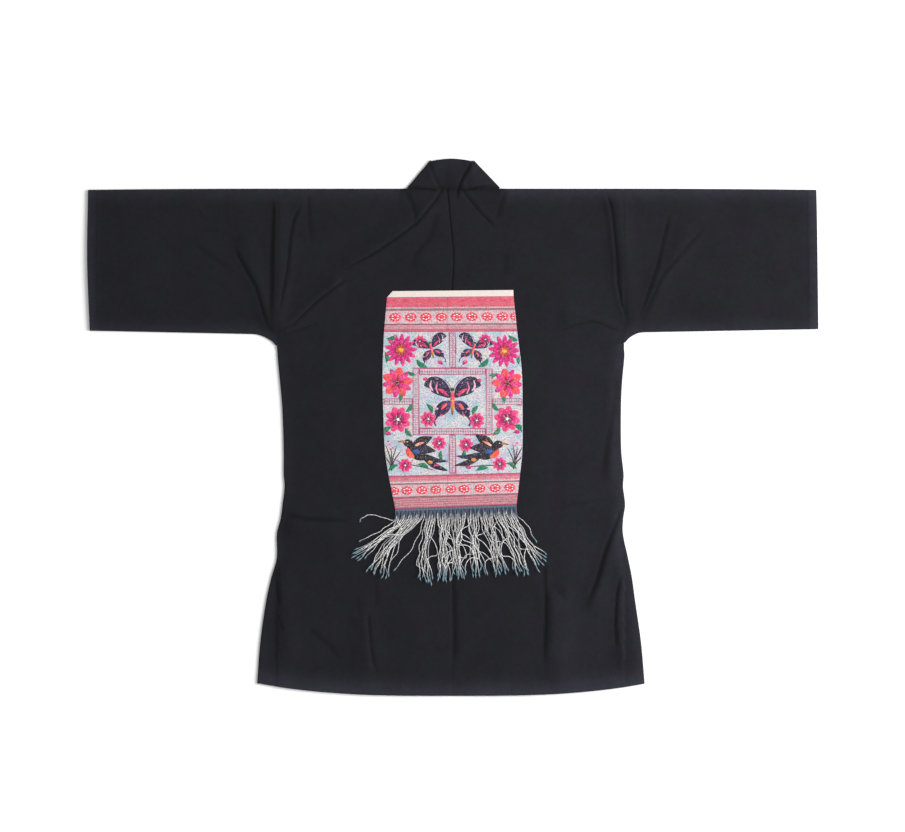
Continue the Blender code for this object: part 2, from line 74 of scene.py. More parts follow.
def noise(tree, at, scale, detail=2.0):
    """A soft uneven pattern from 0 to 1."""
    return add_node(tree, "ShaderNodeTexNoise", {"Vector": at, "Scale": scale, "Detail": detail}).outputs[0]


def spread(tree, value, low, high, first=0.0, last=1.0):
    """The value with low to high brought to first to last, and held past both ends."""
    return add_node(tree, "ShaderNodeMapRange", {0: value, 1: low, 2: high, 3: first, 4: last}).outputs[0]


def new_finish(name, roughness, sheen, sheen_tint=WHITE, sheen_roughness=0.5, specular=0.3):
    """A material, its node tree and its shader."""
    material = bpy.data.materials.new(name)
    material.use_nodes = True
    shader = material.node_tree.nodes["Principled BSDF"]
    shader.inputs["Roughness"].default_value = roughness
    shader.inputs["Sheen Weight"].default_value = sheen
    shader.inputs["Sheen Roughness"].default_value = sheen_roughness
    shader.inputs["Sheen Tint"].default_value = sheen_tint
    shader.inputs["Specular IOR Level"].default_value = specular
    return material, material.node_tree, shader


def set_surface(tree, shader, colour, *layers):
    """Give the shader its colour and its relief: each layer's pattern, strength and depth, finest first."""
    tree.links.new(colour, shader.inputs["Base Color"])
    coarser = shader.inputs["Normal"]
    for pattern, strength, depth in layers:
        bump = add_node(tree, "ShaderNodeBump", {"Height": pattern, "Strength": strength, "Distance": depth})
        tree.links.new(bump.outputs[0], coarser)
        coarser = bump.inputs["Normal"]


bpy.context.scene.view_settings.view_transform = "Standard"
bpy.ops.object.select_all(action="DESELECT")
bpy.ops.object.camera_add(location=(0, VIEW_CENTRE_Y, CAMERA_HEIGHT), rotation=(0, 0, 0))
camera = bpy.context.object
camera.data.sensor_width = SENSOR
camera.data.lens = SENSOR * CAMERA_HEIGHT / VIEW_WIDTH
camera.data.clip_end = 20
bpy.context.scene.camera = camera

bpy.ops.object.light_add(type="AREA", location=(3.0, 0.4, 2.5))
window = bpy.context.object
window.name = "window_light"
window.data.shape = "RECTANGLE"
window.data.size, window.data.size_y = 2.2, 2.6
window.data.energy = 205
window.rotation_euler = (Vector((0, 0, 0)) - window.location).to_track_quat("-Z", "Y").to_euler()

room = bpy.data.worlds.new("pale_room")
room.use_nodes = True
room.node_tree.nodes["Background"].inputs["Color"].default_value = WHITE
room.node_tree.nodes["Background"].inputs["Strength"].default_value = 0.60
bpy.context.scene.world = room

bpy.ops.mesh.primitive_plane_add(size=8, location=(0, 0, -0.0004))
floor = bpy.context.object
floor.name = "studio_floor"
bpy.ops.object.transform_apply(location=True)
floor_finish, floor_tree, floor_shader = new_finish("white_floor", 0.9, 0.0, specular=0.1)
floor_place = add_node(floor_tree, "ShaderNodeTexCoord").outputs["Object"]
floor_tone = spread(floor_tree, noise(floor_tree, floor_place, 3.0), 0.0, 1.0, 0.93, 0.96)
set_surface(floor_tree, floor_shader, floor_tone)
floor.data.materials.append(floor_finish)

# The back: two straight widths of black cloth with a seam down the centre, from the shoulder fold to the hem.
# The cloth is pressed and soft, so it keeps long shallow folds and the sharper creases from the neck, the
# armholes and the waist. Each width turns down to the floor at its side seam and along the shoulder.
LEFT, RIGHT = -1, 1
HANDS = {LEFT: "left", RIGHT: "right"}
CLOTH = 0.0014
SEAM_GAP = 0.0003
EDGE_HEIGHT = 0.0048
SHOULDER_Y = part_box("back_left")[1].y
HEM_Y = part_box("back_left")[0].y
HEM_RISE = 0.022
HEM_HALF = 0.343
HEM_DEPTH = 0.020
UNDERARM_TURN = 0.020
SEAM_LEVEL = 0.008

Level = namedtuple("Level", "name below_shoulder left right")
BODY_LEVELS = (
    Level("shoulder", 0.000, 0.3120, 0.3050),
    Level("underarm", 0.280, 0.3120, 0.3050),
    Level("side_top", 0.294, 0.3114, 0.3060),
    Level("bust", 0.305, 0.3106, 0.3054),
    Level("midriff", 0.348, 0.3065, 0.3015),
    Level("ribs", 0.391, 0.3028, 0.2998),
    Level("waist", 0.466, 0.3003, 0.3003),
    Level("waist_low", 0.509, 0.3003, 0.3045),
    Level("side_tuck", 0.530, 0.2988, 0.3035),
    Level("side_fold", 0.562, 0.3024, 0.3071),
    Level("notch", 0.588, 0.3060, 0.3037),
    Level("flare", 0.613, 0.3123, 0.3032),
    Level("hip", 0.658, 0.3128, 0.3126),
    Level("hip_low", 0.690, 0.3218, 0.3190),
    Level("thigh", 0.733, 0.3314, 0.3250),
    Level("skirt", 0.808, 0.3421, 0.3356),
    Level("hem", 0.884, 0.3478, 0.3422),
)
Arm = namedtuple(
    "Arm", "armhole cuff_top cuff_middle cuff_low underarm_y corner_reach lower_y lower_cuff_y top_cuff_y"
)
ARMS = {
    LEFT: Arm(0.3120, 0.6480, 0.6495, 0.6450, 0.1450, 0.045, 0.1645, 0.1714, 0.4220),
    RIGHT: Arm(0.3050, 0.6470, 0.6490, 0.6505, 0.1500, 0.036, 0.1680, 0.1742, 0.4220),
}

# Long shallow folds: a line on the cloth, how far it rises, half its width
Fold = namedtuple("Fold", "name start_x start_y end_x end_y rise half_width")
FOLDS = (
    Fold("neck_drape", -0.048, 0.386, -0.178, 0.296, 0.0042, 0.018),
    Fold("chest_drape", -0.200, 0.263, -0.296, 0.180, 0.0044, 0.018),
    Fold("left_armhole", -0.309, 0.395, -0.311, 0.185, 0.0036, 0.014),
    Fold("left_sleeve", -0.366, 0.328, -0.326, 0.186, 0.0036, 0.018),
    Fold("right_armhole", 0.292, 0.405, 0.318, 0.190, 0.0050, 0.018),
    Fold("right_sleeve", 0.412, 0.340, 0.344, 0.200, 0.0036, 0.020),
    Fold("right_chest", 0.205, 0.192, 0.285, 0.184, 0.0028, 0.016),
    Fold("right_waist", 0.292, 0.060, 0.284, -0.080, 0.0030, 0.016),
    Fold("left_waist", -0.284, -0.176, -0.222, -0.180, 0.0034, 0.018),
    Fold("right_hip", 0.302, -0.166, 0.256, -0.310, 0.0050, 0.020),
    Fold("left_hip", -0.300, -0.260, -0.290, -0.400, 0.0034, 0.018),
    Fold("left_skirt", -0.162, -0.340, -0.154, -0.450, 0.0034, 0.022),
    Fold("right_skirt", 0.187, -0.300, 0.187, -0.440, 0.0050, 0.024),
    Fold("right_side", 0.304, -0.250, 0.305, -0.410, 0.0034, 0.014),
)
BILLOW = 0.0008
EASE_FROM_EDGE = 0.028
CRISP_FROM_EDGE = 0.007
NECK_SIDE = 0.095
NECK_EASE = 3
# The cloth lies level under the panel and the fringe, inside these lines
LEVEL_LEFT, LEVEL_RIGHT, LEVEL_LOW, LEVEL_TOP = -0.184, 0.178, -0.284, 0.250
LEVEL_FADE = 0.030
CRISP_FADE = 0.012

# Creases: how deep and wide the trough is, how high the cloth stands beside it and on which side of its path,
# +1 for the left of someone who walks along it, and the path, all in millimetres
Crease = namedtuple("Crease", "name depth width lift side path")
CREASES = (
    Crease("neck_left", 2.1, 2.7, 1.0, -1,
           ((-13, 431), (-29, 404), (-45, 384), (-64, 361), (-78, 351), (-102, 333), (-141, 307),
            (-204, 273))),
    Crease("chest_left", 1.7, 3.0, 1.0, -1,
           ((-186, 264), (-218, 240), (-238, 225), (-260, 204), (-292, 173))),
    Crease("underarm_left", 0.8, 2.5, 0.6, -1, ((-236, 186), (-272, 172), (-305, 163))),
    Crease("corner_left", 0.7, 2.3, 1.2, -1, ((-272, 187), (-296, 176), (-322, 164))),
    Crease("armhole_left", 1.4, 2.7, 1.2, 1,
           ((-268, 400), (-283, 366), (-289, 334), (-293, 285), (-299, 251), (-312, 180))),
    Crease("seam_left", 1.4, 6.0, 0.8, 1, ((-316, 410), (-321, 300), (-322, 200), (-318, 165))),
    Crease("shoulder_left", 0.8, 5.0, 0.3, -1, ((-255, 416), (-256, 386), (-254, 359), (-249, 320))),
    Crease("neck_tuck_left", 1.1, 5.0, 0.4, -1, ((-83, 420), (-72, 399), (-65, 379), (-67, 352))),
    Crease("upper_back_left", 0.7, 8.0, 0.2, 1, ((-24, 384), (-42, 334), (-63, 309), (-76, 270))),
    Crease("neck_right", 1.4, 2.4, 0.8, 1, ((12, 431), (20, 418), (47, 384), (64, 367), (84, 346))),
    Crease("neck_tuck_right", 0.9, 3.5, 0.4, 1, ((94, 422), (85, 393), (77, 366))),
    Crease("upper_back_right", 0.5, 9.0, 0.2, 1, ((95, 310), (95, 268))),
    Crease("armhole_right", 1.9, 2.6, 1.1, -1,
           ((272, 424), (283, 387), (288, 342), (292, 298), (294, 254), (301, 221), (314, 178))),
    Crease("underarm_right", 1.0, 2.7, 0.8, 1,
           ((188, 170), (221, 182), (250, 187), (266, 183), (286, 174), (308, 163))),
    Crease("underarm_right_short", 0.5, 2.3, 0.3, 1, ((213, 198), (241, 190), (262, 184))),
    Crease("waist_right", 1.2, 8.0, 0.8, -1, ((293, 100), (290, 50), (279, -15), (266, -100))),
    Crease("waist_tuck_right", 0.6, 2.5, 0.3, 1, ((186, -148), (210, -137), (252, -133))),
    Crease("waist_left", 1.1, 6.5, 0.7, -1, ((-300, -154), (-259, -163), (-212, -165), (-176, -168))),
    Crease("hip_left", 1.6, 2.7, 0.8, 1, ((-312, -234), (-314, -270), (-311, -300), (-304, -330))),
    Crease("hip_left_low", 1.0, 2.5, 0.6, 1, ((-310, -332), (-306, -348), (-300, -366))),
    Crease("skirt_left_high", 0.8, 5.0, 0.3, 1, ((-135, -264), (-135, -326))),
    Crease("skirt_left", 1.5, 3.6, 1.0, -1, ((-149, -328), (-146, -377), (-141, -414), (-131, -450))),
    Crease("skirt_left_faint", 0.5, 6.0, 0.2, 1, ((-170, -298), (-165, -340))),
    Crease("skirt_corner_left", 0.8, 6.0, 0.2, 1, ((-256, -358), (-221, -386), (-198, -416))),
    Crease("centre_low", 1.3, 4.6, 0.7, 1, ((4, -255), (3, -310), (4, -360), (3, -436))),
    Crease("skirt_right", 1.7, 4.8, 1.2, 1,
           ((165, -232), (166, -293), (166, -340), (164, -390), (164, -440))),
    Crease("hip_right", 2.5, 3.6, 1.5, 1,
           ((304, -138), (287, -179), (271, -221), (257, -270), (247, -297), (232, -328))),
    Crease("side_right", 1.8, 2.5, 1.5, 1,
           ((299, -262), (292, -297), (290, -328), (289, -353), (293, -408))),
    Crease("side_ridge_right", 0.6, 2.3, 1.2, 1, ((306, -220), (303, -262), (299, -310))),
    Crease("sleeve_left", 1.8, 3.1, 1.0, 1,
           ((-388, 322), (-379, 301), (-349, 248), (-335, 199), (-322, 160))),
    Crease("sleeve_left_faint", 0.6, 6.0, 0.2, 1, ((-462, 328), (-420, 298), (-384, 273))),
    Crease("sleeve_right_upper", 1.2, 2.7, 0.8, 1,
           ((388, 386), (374, 330), (363, 283), (336, 204), (326, 172))),
    Crease("sleeve_right_lower", 1.1, 2.8, 0.7, 1,
           ((450, 358), (406, 307), (371, 266), (341, 196), (330, 168))),
    Crease("collar_left", 1.2, 2.8, 1.2, -1, ((-44, 476), (-40, 466), (-32, 446), (-24, 430), (-16, 414))),
    Crease("collar_right", 2.3, 2.8, 1.8, 1, ((34, 474), (30, 463), (19, 445), (11, 427), (6, 400))),
    Crease("collar_line_left", 1.0, 2.3, 0.4, 1, ((-76, 426), (-60, 424), (-45, 423), (-26, 420))),
    Crease("collar_line_right", 1.0, 2.5, 0.4, 1, ((16, 419), (45, 426), (76, 431))),
    Crease("collar_ray_right", 0.7, 2.5, 0.3, 1, ((23, 431), (34, 442), (46, 453))),
)
CREASE_STARTS, CREASE_ENDS = 0.12, 0.28  # shares of its length over which a crease deepens and runs out
RIDGE_AWAY, RIDGE_WIDE = 2.3, 2.0  # where the cloth stands beside a crease and how broadly, in its widths
# A crease's shade is painted into the cloth's colour as a dark line along its trough
SHADE_WIDE = 0.65  # the dark line's width, in widths of the crease
DARKEST_DEPTH = 1.5  # the depth in mm at which a crease is darkest


def smooth_step(value):
    """A smooth rise from 0 to 1 as the value goes from 0 to 1."""
    held = np.clip(value, 0, 1)
    return held * held * (3 - 2 * held)


def bell(distance, width):
    """1 at no distance, and smoothly down to nothing past the width."""
    return np.exp(-((distance / width) ** 2))


def through(knots, values, at):
    """A smooth curve through the values, held level past both ends."""
    knots, values = np.asarray(knots, float), np.asarray(values, float)
    at = np.clip(at, knots[0], knots[-1])
    before = np.maximum(np.arange(len(knots)) - 1, 0)
    after = np.minimum(np.arange(len(knots)) + 1, len(knots) - 1)
    slopes = (values[after] - values[before]) / (knots[after] - knots[before])
    i = np.clip(np.searchsorted(knots, at) - 1, 0, len(knots) - 2)
    span = knots[i + 1] - knots[i]
    t = (at - knots[i]) / span
    return (
        (2 * t**3 - 3 * t**2 + 1) * values[i]
        + (t**3 - 2 * t**2 + t) * span * slopes[i]
        + (3 * t**2 - 2 * t**3) * values[i + 1]
        + (t**3 - t**2) * span * slopes[i + 1]
    )


def half_width(side, y):
    knots = [level.below_shoulder for level in BODY_LEVELS]
    widths = [level.left if side == LEFT else level.right for level in BODY_LEVELS]
    return through(knots, widths, SHOULDER_Y - y)


def hem_y(x):
    return HEM_Y + HEM_RISE * np.minimum(np.abs(x) / HEM_HALF, 1) ** 3


def off_seam(side, x):
    out = np.abs(x) - ARMS[side].armhole
    return out * smooth_step(np.abs(out) / SEAM_LEVEL)


def sleeve_edges(side, x):
    """The sleeve's lower seam and its shoulder fold at this place across."""
    arm = ARMS[side]
    out = off_seam(side, x)
    share = out / (arm.cuff_middle - arm.armhole)
    drop = (arm.lower_y - arm.underarm_y) * np.maximum(1 - out / arm.corner_reach, 0) ** 2
    lower = arm.lower_y + (arm.lower_cuff_y - arm.lower_y) * share - drop
    return lower, SHOULDER_Y + (arm.top_cuff_y - SHOULDER_Y) * share**2


def along_path(path):
    """How far along a path each of its points lies."""
    return np.concatenate([[0], np.cumsum(np.linalg.norm(np.diff(path, axis=0), axis=1))])


def creased(x, y):
    """The relief of the creases, and the painted shade that darkens the bottom of each."""
    relief = np.zeros_like(x)
    shade = np.zeros_like(x)
    for crease in CREASES:
        path = np.array(crease.path) * MM
        run = along_path(path)
        nearest = np.full_like(x, 1.0)
        along = np.zeros_like(x)
        aside = np.zeros_like(x)
        for start, end, before, step in zip(path, path[1:], run, np.diff(run)):
            ahead = (end - start) / step
            t = np.clip((x - start[0]) * ahead[0] + (y - start[1]) * ahead[1], 0, step)
            off_x, off_y = x - start[0] - t * ahead[0], y - start[1] - t * ahead[1]
            away = np.hypot(off_x, off_y)
            closer = away < nearest
            nearest = np.where(closer, away, nearest)
            along = np.where(closer, (before + t) / run[-1], along)
            aside = np.where(closer, np.sign(ahead[0] * off_y - ahead[1] * off_x), aside)
        width = crease.width * MM
        fade = smooth_step(along / CREASE_STARTS) * smooth_step((1 - along) / CREASE_ENDS)
        stand = crease.lift * bell(nearest * aside * crease.side - RIDGE_AWAY * width, RIDGE_WIDE * width)
        relief += (stand - crease.depth * bell(nearest, width)) * MM * fade
        # painted shade along the bottom of the crease
        shade += crease.depth / DARKEST_DEPTH * bell(nearest, SHADE_WIDE * width) * fade
    return relief, np.minimum(shade, 1)


def distance_to_fold(x, y):
    """How far a place lies from the nearest folded edge of the back or the sleeves."""
    distance = np.empty_like(x)
    for side in (LEFT, RIGHT):
        arm = ARMS[side]
        lower, upper = sleeve_edges(side, x)
        on_sleeve = np.maximum(np.minimum(upper - y, y - lower), 0)
        to_side = np.maximum(half_width(side, y) - np.abs(x), 0)
        to_side = np.where(y > arm.underarm_y, np.hypot(to_side, y - arm.underarm_y), to_side)
        beside_neck = np.maximum(NECK_SIDE - np.abs(x), 0) * NECK_EASE
        on_body = np.minimum(SHOULDER_Y - y + beside_neck, to_side)
        here = np.where(np.abs(x) > arm.armhole, on_sleeve, on_body)
        distance = np.where(x * side >= 0, here, distance)
    return distance


def cloth_height(x, y):
    """Height of the coat's upper face above the floor."""
    left, right = (ARMS[side].armhole + off_seam(side, x) for side in (LEFT, RIGHT))
    seamed = np.where(x < 0, -left, right)
    relief = BILLOW * (1 + np.sin(23 * seamed + 9 * y) * np.sin(17 * y - 5 * seamed + 0.8))
    for fold in FOLDS:
        run_x, run_y = fold.end_x - fold.start_x, fold.end_y - fold.start_y
        t = ((seamed - fold.start_x) * run_x + (y - fold.start_y) * run_y) / (run_x**2 + run_y**2)
        t = np.clip(t, 0, 1)
        away = np.hypot(seamed - fold.start_x - t * run_x, y - fold.start_y - t * run_y)
        relief += fold.rise * bell(away, fold.half_width)
    edge = distance_to_fold(x, y)
    outside = np.maximum.reduce([LEVEL_LEFT - x, x - LEVEL_RIGHT, LEVEL_LOW - y, y - LEVEL_TOP])
    ease = smooth_step(edge / EASE_FROM_EDGE) * smooth_step(outside / LEVEL_FADE)
    crisp = smooth_step(edge / CRISP_FROM_EDGE) * smooth_step(outside / CRISP_FADE)
    return EDGE_HEIGHT + relief * ease + creased(seamed, y)[0] * crisp


# How a folded edge turns up from the floor to the cloth's upper face: how far in from the fold each step
# lies, its share of the height, and how far in it lies where the cloth goes on without a fold
Turn = namedtuple("Turn", "inset height flat_inset")
TURN_DEPTH = 0.0024
QUARTER = math.pi / 2
EDGE_TURN = [Turn(0.0, 0.0, 0.0), Turn(0.0, 0.25, 0.0004)] + [
    Turn(
        inset=TURN_DEPTH * (1 - math.cos(part * QUARTER)),
        height=0.5 + 0.5 * math.sin(part * QUARTER),
        flat_inset=0.0008 + 0.0028 * part,
    )
    for part in np.linspace(0, 1, 5)
]
FINE = 0.0026
NECK_TURN = {LEFT: 0.0840, RIGHT: 0.0890}
NECK_TURN_FADE = 0.010
# Beside the centre back seam: how far from it, and how many mm the cloth is drawn down there
SEAM_COLUMNS = ((0.00003, 1.4), (0.0007, 1.0), (0.0016, 0.4), (0.0030, 0.05))
LAST_SEAM_COLUMN = SEAM_COLUMNS[-1][0]
SEAM_DRAW = (0.25, 0.8, 1.0)  # how strongly the seam draws in at the hem, at the waist and at the shoulder
LEAN_REACH = 0.07  # how far from the seam its lean is spread
HEM_LIFT, HEM_STEP = 0.0004, 0.003  # how much higher a hemmed edge lies, and how wide the step up to it is


def steps_over(length, step=FINE):
    return np.linspace(0, 1, max(round(length / step), 2) + 1)


def points_of(cloth):
    points = np.empty(len(cloth.data.vertices) * 3)
    cloth.data.vertices.foreach_get("co", points)
    return points.reshape(-1, 3)


def seam_lean(y):
    """How far the centre back seam lies to the right of the middle: the collar pulls its top to the left."""
    return through((0.244, 0.305, 0.345, 0.417), (-0.0010, 0.0015, -0.0020, -0.0090), y)


def hem_lift(depth, away):
    """The extra height of an edge that is turned in to this depth, at a place this far from the edge."""
    return HEM_LIFT * smooth_step((depth - away) / HEM_STEP)


def cuff_edge(side, down):
    """How far out the cuff lies, at a share of the way down it."""
    arm = ARMS[side]
    return through((0, 0.5, 1), (arm.cuff_top, arm.cuff_middle, arm.cuff_low), down)


# The painted sheen along each folded edge, a pale band painted as if lit: its strength on the left and on the
# right half, and how far in it reaches
PaintedEdgeSheen = namedtuple("PaintedEdgeSheen", "left right reach")
SHOULDER_PAINTED_SHEEN = PaintedEdgeSheen(0.80, 1.15, 0.017)
SLEEVE_SEAM_PAINTED_SHEEN = PaintedEdgeSheen(0.80, 0.80, 0.015)
CUFF_PAINTED_SHEEN = PaintedEdgeSheen(0.85, 1.20, 0.015)
HEM_PAINTED_SHEEN = PaintedEdgeSheen(1.50, 1.50, 0.022)
SIDE_PAINTED_SHEEN = PaintedEdgeSheen(0.25, 0.85, 0.016)
# Soft patches on the collar, a painted highlight near its top and painted shade in the valley at the neck:
# where, half the size, and how strong
Patch = namedtuple("Patch", "x y half_wide half_tall strength")
PAINTED_HIGHLIGHT_PATCH = Patch(-0.008, 0.470, 0.020, 0.014, 0.35)
PAINTED_SHADE_PATCH = Patch(-0.002, 0.432, 0.016, 0.016, 0.35)
CUFF_STITCHES = 0.0165
STITCH_SHADE = 0.0016
NECK_SHADE = 0.102


def patched(patch, x, y):
    near = bell(x - patch.x, patch.half_wide) * bell(y - patch.y, patch.half_tall)
    return patch.strength * near * (y > SHOULDER_Y)


def mark_points(piece, name, marks):
    """Store a colour, or four values, for each point of a piece."""
    layer = piece.data.color_attributes.new(name, "FLOAT_COLOR", "POINT")
    layer.data.foreach_set("color", np.ravel(marks))


def tone_cloth(cloth):
    """Mark the painted shade in the cloth's creases and seams, and the painted sheen that pales its folded
    edges.
    """
    x, y, _ = points_of(cloth).T
    across = np.abs(x)
    at_neck = smooth_step((NECK_SHADE - across) / 0.022)
    seam = through((HEM_Y, 0.0, SHOULDER_Y), (0.0, 0.6, 0.9), y)
    # Painted shade in the creases, along the centre seam and along the neck seam
    shade = creased(x, y)[1] + seam * bell(x - seam_lean(y), STITCH_SHADE) * (y < SHOULDER_Y)
    shade += 0.45 * at_neck * bell(y - SHOULDER_Y + 0.001, 0.005)
    painted_sheen = np.zeros_like(x)
    for side in (LEFT, RIGHT):
        arm = ARMS[side]
        lower, top = sleeve_edges(side, x)
        cuff = cuff_edge(side, (top - y) / (top - lower))
        on_body = (y < arm.underarm_y).astype(float)
        on_sleeve = across > arm.armhole
        # Painted shade along the stitch line inside the cuff
        shade += 0.30 * on_sleeve * bell(cuff - across - CUFF_STITCHES, STITCH_SHADE)
        # Painted sheen along the shoulder, sleeve seam, cuff, hem and side edges
        edges = (
            (SHOULDER_PAINTED_SHEEN, SHOULDER_Y - y, 1 - at_neck),
            (SLEEVE_SEAM_PAINTED_SHEEN, y - lower, (1 - on_body) * on_sleeve),
            (CUFF_PAINTED_SHEEN, cuff - across, 1),
            (HEM_PAINTED_SHEEN, y - hem_y(x), 1),
            (SIDE_PAINTED_SHEEN, half_width(side, y) - across, on_body),
        )
        here = sum(getattr(wear_and_painted_light, HANDS[side]) * part * bell(away, wear_and_painted_light.reach) for wear_and_painted_light, away, part in edges)
        painted_sheen = np.where(x * side >= 0, here, painted_sheen)
    # Painted light: the collar and the right half of the body are painted a little paler, as if lit from the
    # right, and the collar's two patches add a painted highlight and painted shade
    painted_sheen += (0.12 + 0.30 * smooth_step((x - 0.030) / 0.008)) * smooth_step((y - SHOULDER_Y) / 0.010)
    on_back = across < ARMS[RIGHT].armhole
    painted_sheen += 0.22 * smooth_step((x - 0.06) / 0.18) * smooth_step((0.30 - y) / 0.15) * on_back
    painted_sheen += patched(PAINTED_HIGHLIGHT_PATCH, x, y)
    shade += patched(PAINTED_SHADE_PATCH, x, y)
    marks = [np.minimum(shade, 1), np.minimum(painted_sheen, 2), np.zeros_like(x), np.ones_like(x)]
    mark_points(cloth, "tone", np.stack(marks, axis=1))


def new_grid(columns, rows):
    """A level grid of points, 1 m wide and high about its middle."""
    bpy.ops.mesh.primitive_grid_add(x_subdivisions=columns - 1, y_subdivisions=rows - 1, size=1)
    return bpy.context.object


def tidy_faces(merge, turn_over):
    """Merge the points of the piece in hand that fall together, and turn its faces over."""
    bpy.ops.object.mode_set(mode="EDIT")
    bpy.ops.mesh.select_all(action="SELECT")
    if merge:
        bpy.ops.mesh.remove_doubles(threshold=0.00001)
    if turn_over:
        bpy.ops.mesh.flip_normals()
    bpy.ops.object.mode_set(mode="OBJECT")


def laid_cloth(name, columns, rows, place, wall, offset=-1.0, turn_over=False, round_shape=False):
    """A fine grid laid out by place, from each point's column and row, then thickened to a cloth."""
    bpy.ops.object.select_all(action="DESELECT")
    cloth = new_grid(columns, rows)
    cloth.name = name
    points = points_of(cloth)
    column = np.rint((points[:, 0] + 0.5) * (columns - 1)).astype(int)
    row = np.rint((points[:, 1] + 0.5) * (rows - 1)).astype(int)
    cloth.data.vertices.foreach_set("co", np.stack(place(column, row), axis=1).ravel())
    tidy_faces(round_shape, turn_over)
    shell = cloth.modifiers.new("wall", "SOLIDIFY")
    shell.thickness = wall
    shell.offset = offset
    shell.use_even_offset = True
    shell.use_quality_normals = True
    bpy.ops.object.modifier_apply(modifier=shell.name)
    bpy.ops.object.shade_smooth_by_angle(angle=math.radians(60))
    return cloth


def linear(red, green, blue):
    """A colour as a screen shows it, 0 to 255, as light."""
    shown = np.array((red, green, blue)) / 255
    lit = np.where(shown <= 0.04045, shown / 12.92, ((shown + 0.055) / 1.055) ** 2.4)
    return (*lit, 1.0)


def stretched(tree, at, scale=(1, 1, 1), moved=(0, 0, 0)):
    """A pattern's place, squeezed by the scale along each axis and moved."""
    return add_node(tree, "ShaderNodeMapping", {"Vector": at, "Scale": scale, "Location": moved}).outputs[0]


def worked_out(tree, operation, first, second=0.0, third=0.0):
    return add_node(tree, "ShaderNodeMath", {0: first, 1: second, 2: third}, operation=operation).outputs[0]


def multiplied(tree, colour, level):
    return add_node(tree, "ShaderNodeVectorMath", {0: colour, 1: level}, operation="MULTIPLY").outputs[0]


def colour_ramp(tree, amount, stops, interpolation="LINEAR"):
    """Colours at their places between 0 and 1."""
    node = add_node(tree, "ShaderNodeValToRGB", {"Fac": amount})
    node.color_ramp.interpolation = interpolation
    elements = node.color_ramp.elements
    elements.remove(elements[1])
    elements[0].position, elements[0].color = stops[0]
    for position, colour in stops[1:]:
        elements.new(position).color = colour
    return node.outputs[0]


def black_cloth_finish():
    """Matt black cloth of a fine plain weave: slubs along both threads and tiny crinkles, with painted shade
    in its creases and seams and a painted sheen along its edges.
    """
    material, tree, shader = new_finish("black_cloth", 0.88, 0.042, (0.72, 0.76, 1.0, 1), 0.45, 0.2)
    place = add_node(tree, "ShaderNodeTexCoord").outputs["Object"]
    weft = noise(tree, stretched(tree, place, (260, 1300, 600)), 1.0)
    warp = noise(tree, stretched(tree, place, (1300, 260, 600)), 1.0)
    threads = worked_out(tree, "ADD", weft, warp)
    crinkle = noise(tree, place, 110.0, 3.0)
    tone = worked_out(tree, "MULTIPLY_ADD", threads, 0.42, -0.14)
    tone = worked_out(tree, "MULTIPLY_ADD", noise(tree, place, 16.0, 4.0), 0.38, tone)
    tone = worked_out(tree, "MULTIPLY_ADD", crinkle, 0.34, tone)
    black, paler = (0.0044, 0.0043, 0.0064, 1), (0.0100, 0.0098, 0.0134, 1)
    greenish, purplish = (0.90, 1.0, 0.97, 1), (1.0, 0.90, 1.0, 1)
    shades = colour_ramp(tree, tone, ((0.40, black), (0.90, paler)))
    casts = colour_ramp(tree, noise(tree, place, 30.0, 9.0), ((0.42, greenish), (0.58, purplish)))
    # The marks darken the dye with painted shade and lighten it with painted sheen
    marks = add_node(tree, "ShaderNodeAttribute", attribute_name="tone").outputs["Color"]
    shade, painted_sheen, _ = add_node(tree, "ShaderNodeSeparateColor", {"Color": marks}).outputs
    level = worked_out(tree, "MULTIPLY_ADD", shade, -0.85, 1.0)
    level = worked_out(tree, "MULTIPLY_ADD", painted_sheen, 1.3, level)
    dye_with_painted_light = multiplied(tree, multiplied(tree, shades, casts), level)
    set_surface(tree, shader, dye_with_painted_light, (threads, 0.5, 0.00022), (crinkle, 0.35, 0.0006))
    return material


BLACK_CLOTH = black_cloth_finish()


def dress(piece, material, *nodes, slot):
    """Give a finished piece its material and its place on the coat; the slot, the record's finish, is not
    used.
    """
    if material == BLACK_CLOTH:
        tone_cloth(piece)
    piece.data.materials.clear()
    piece.data.materials.append(material)
    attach(piece, "root")
    if nodes:
        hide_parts(*nodes)


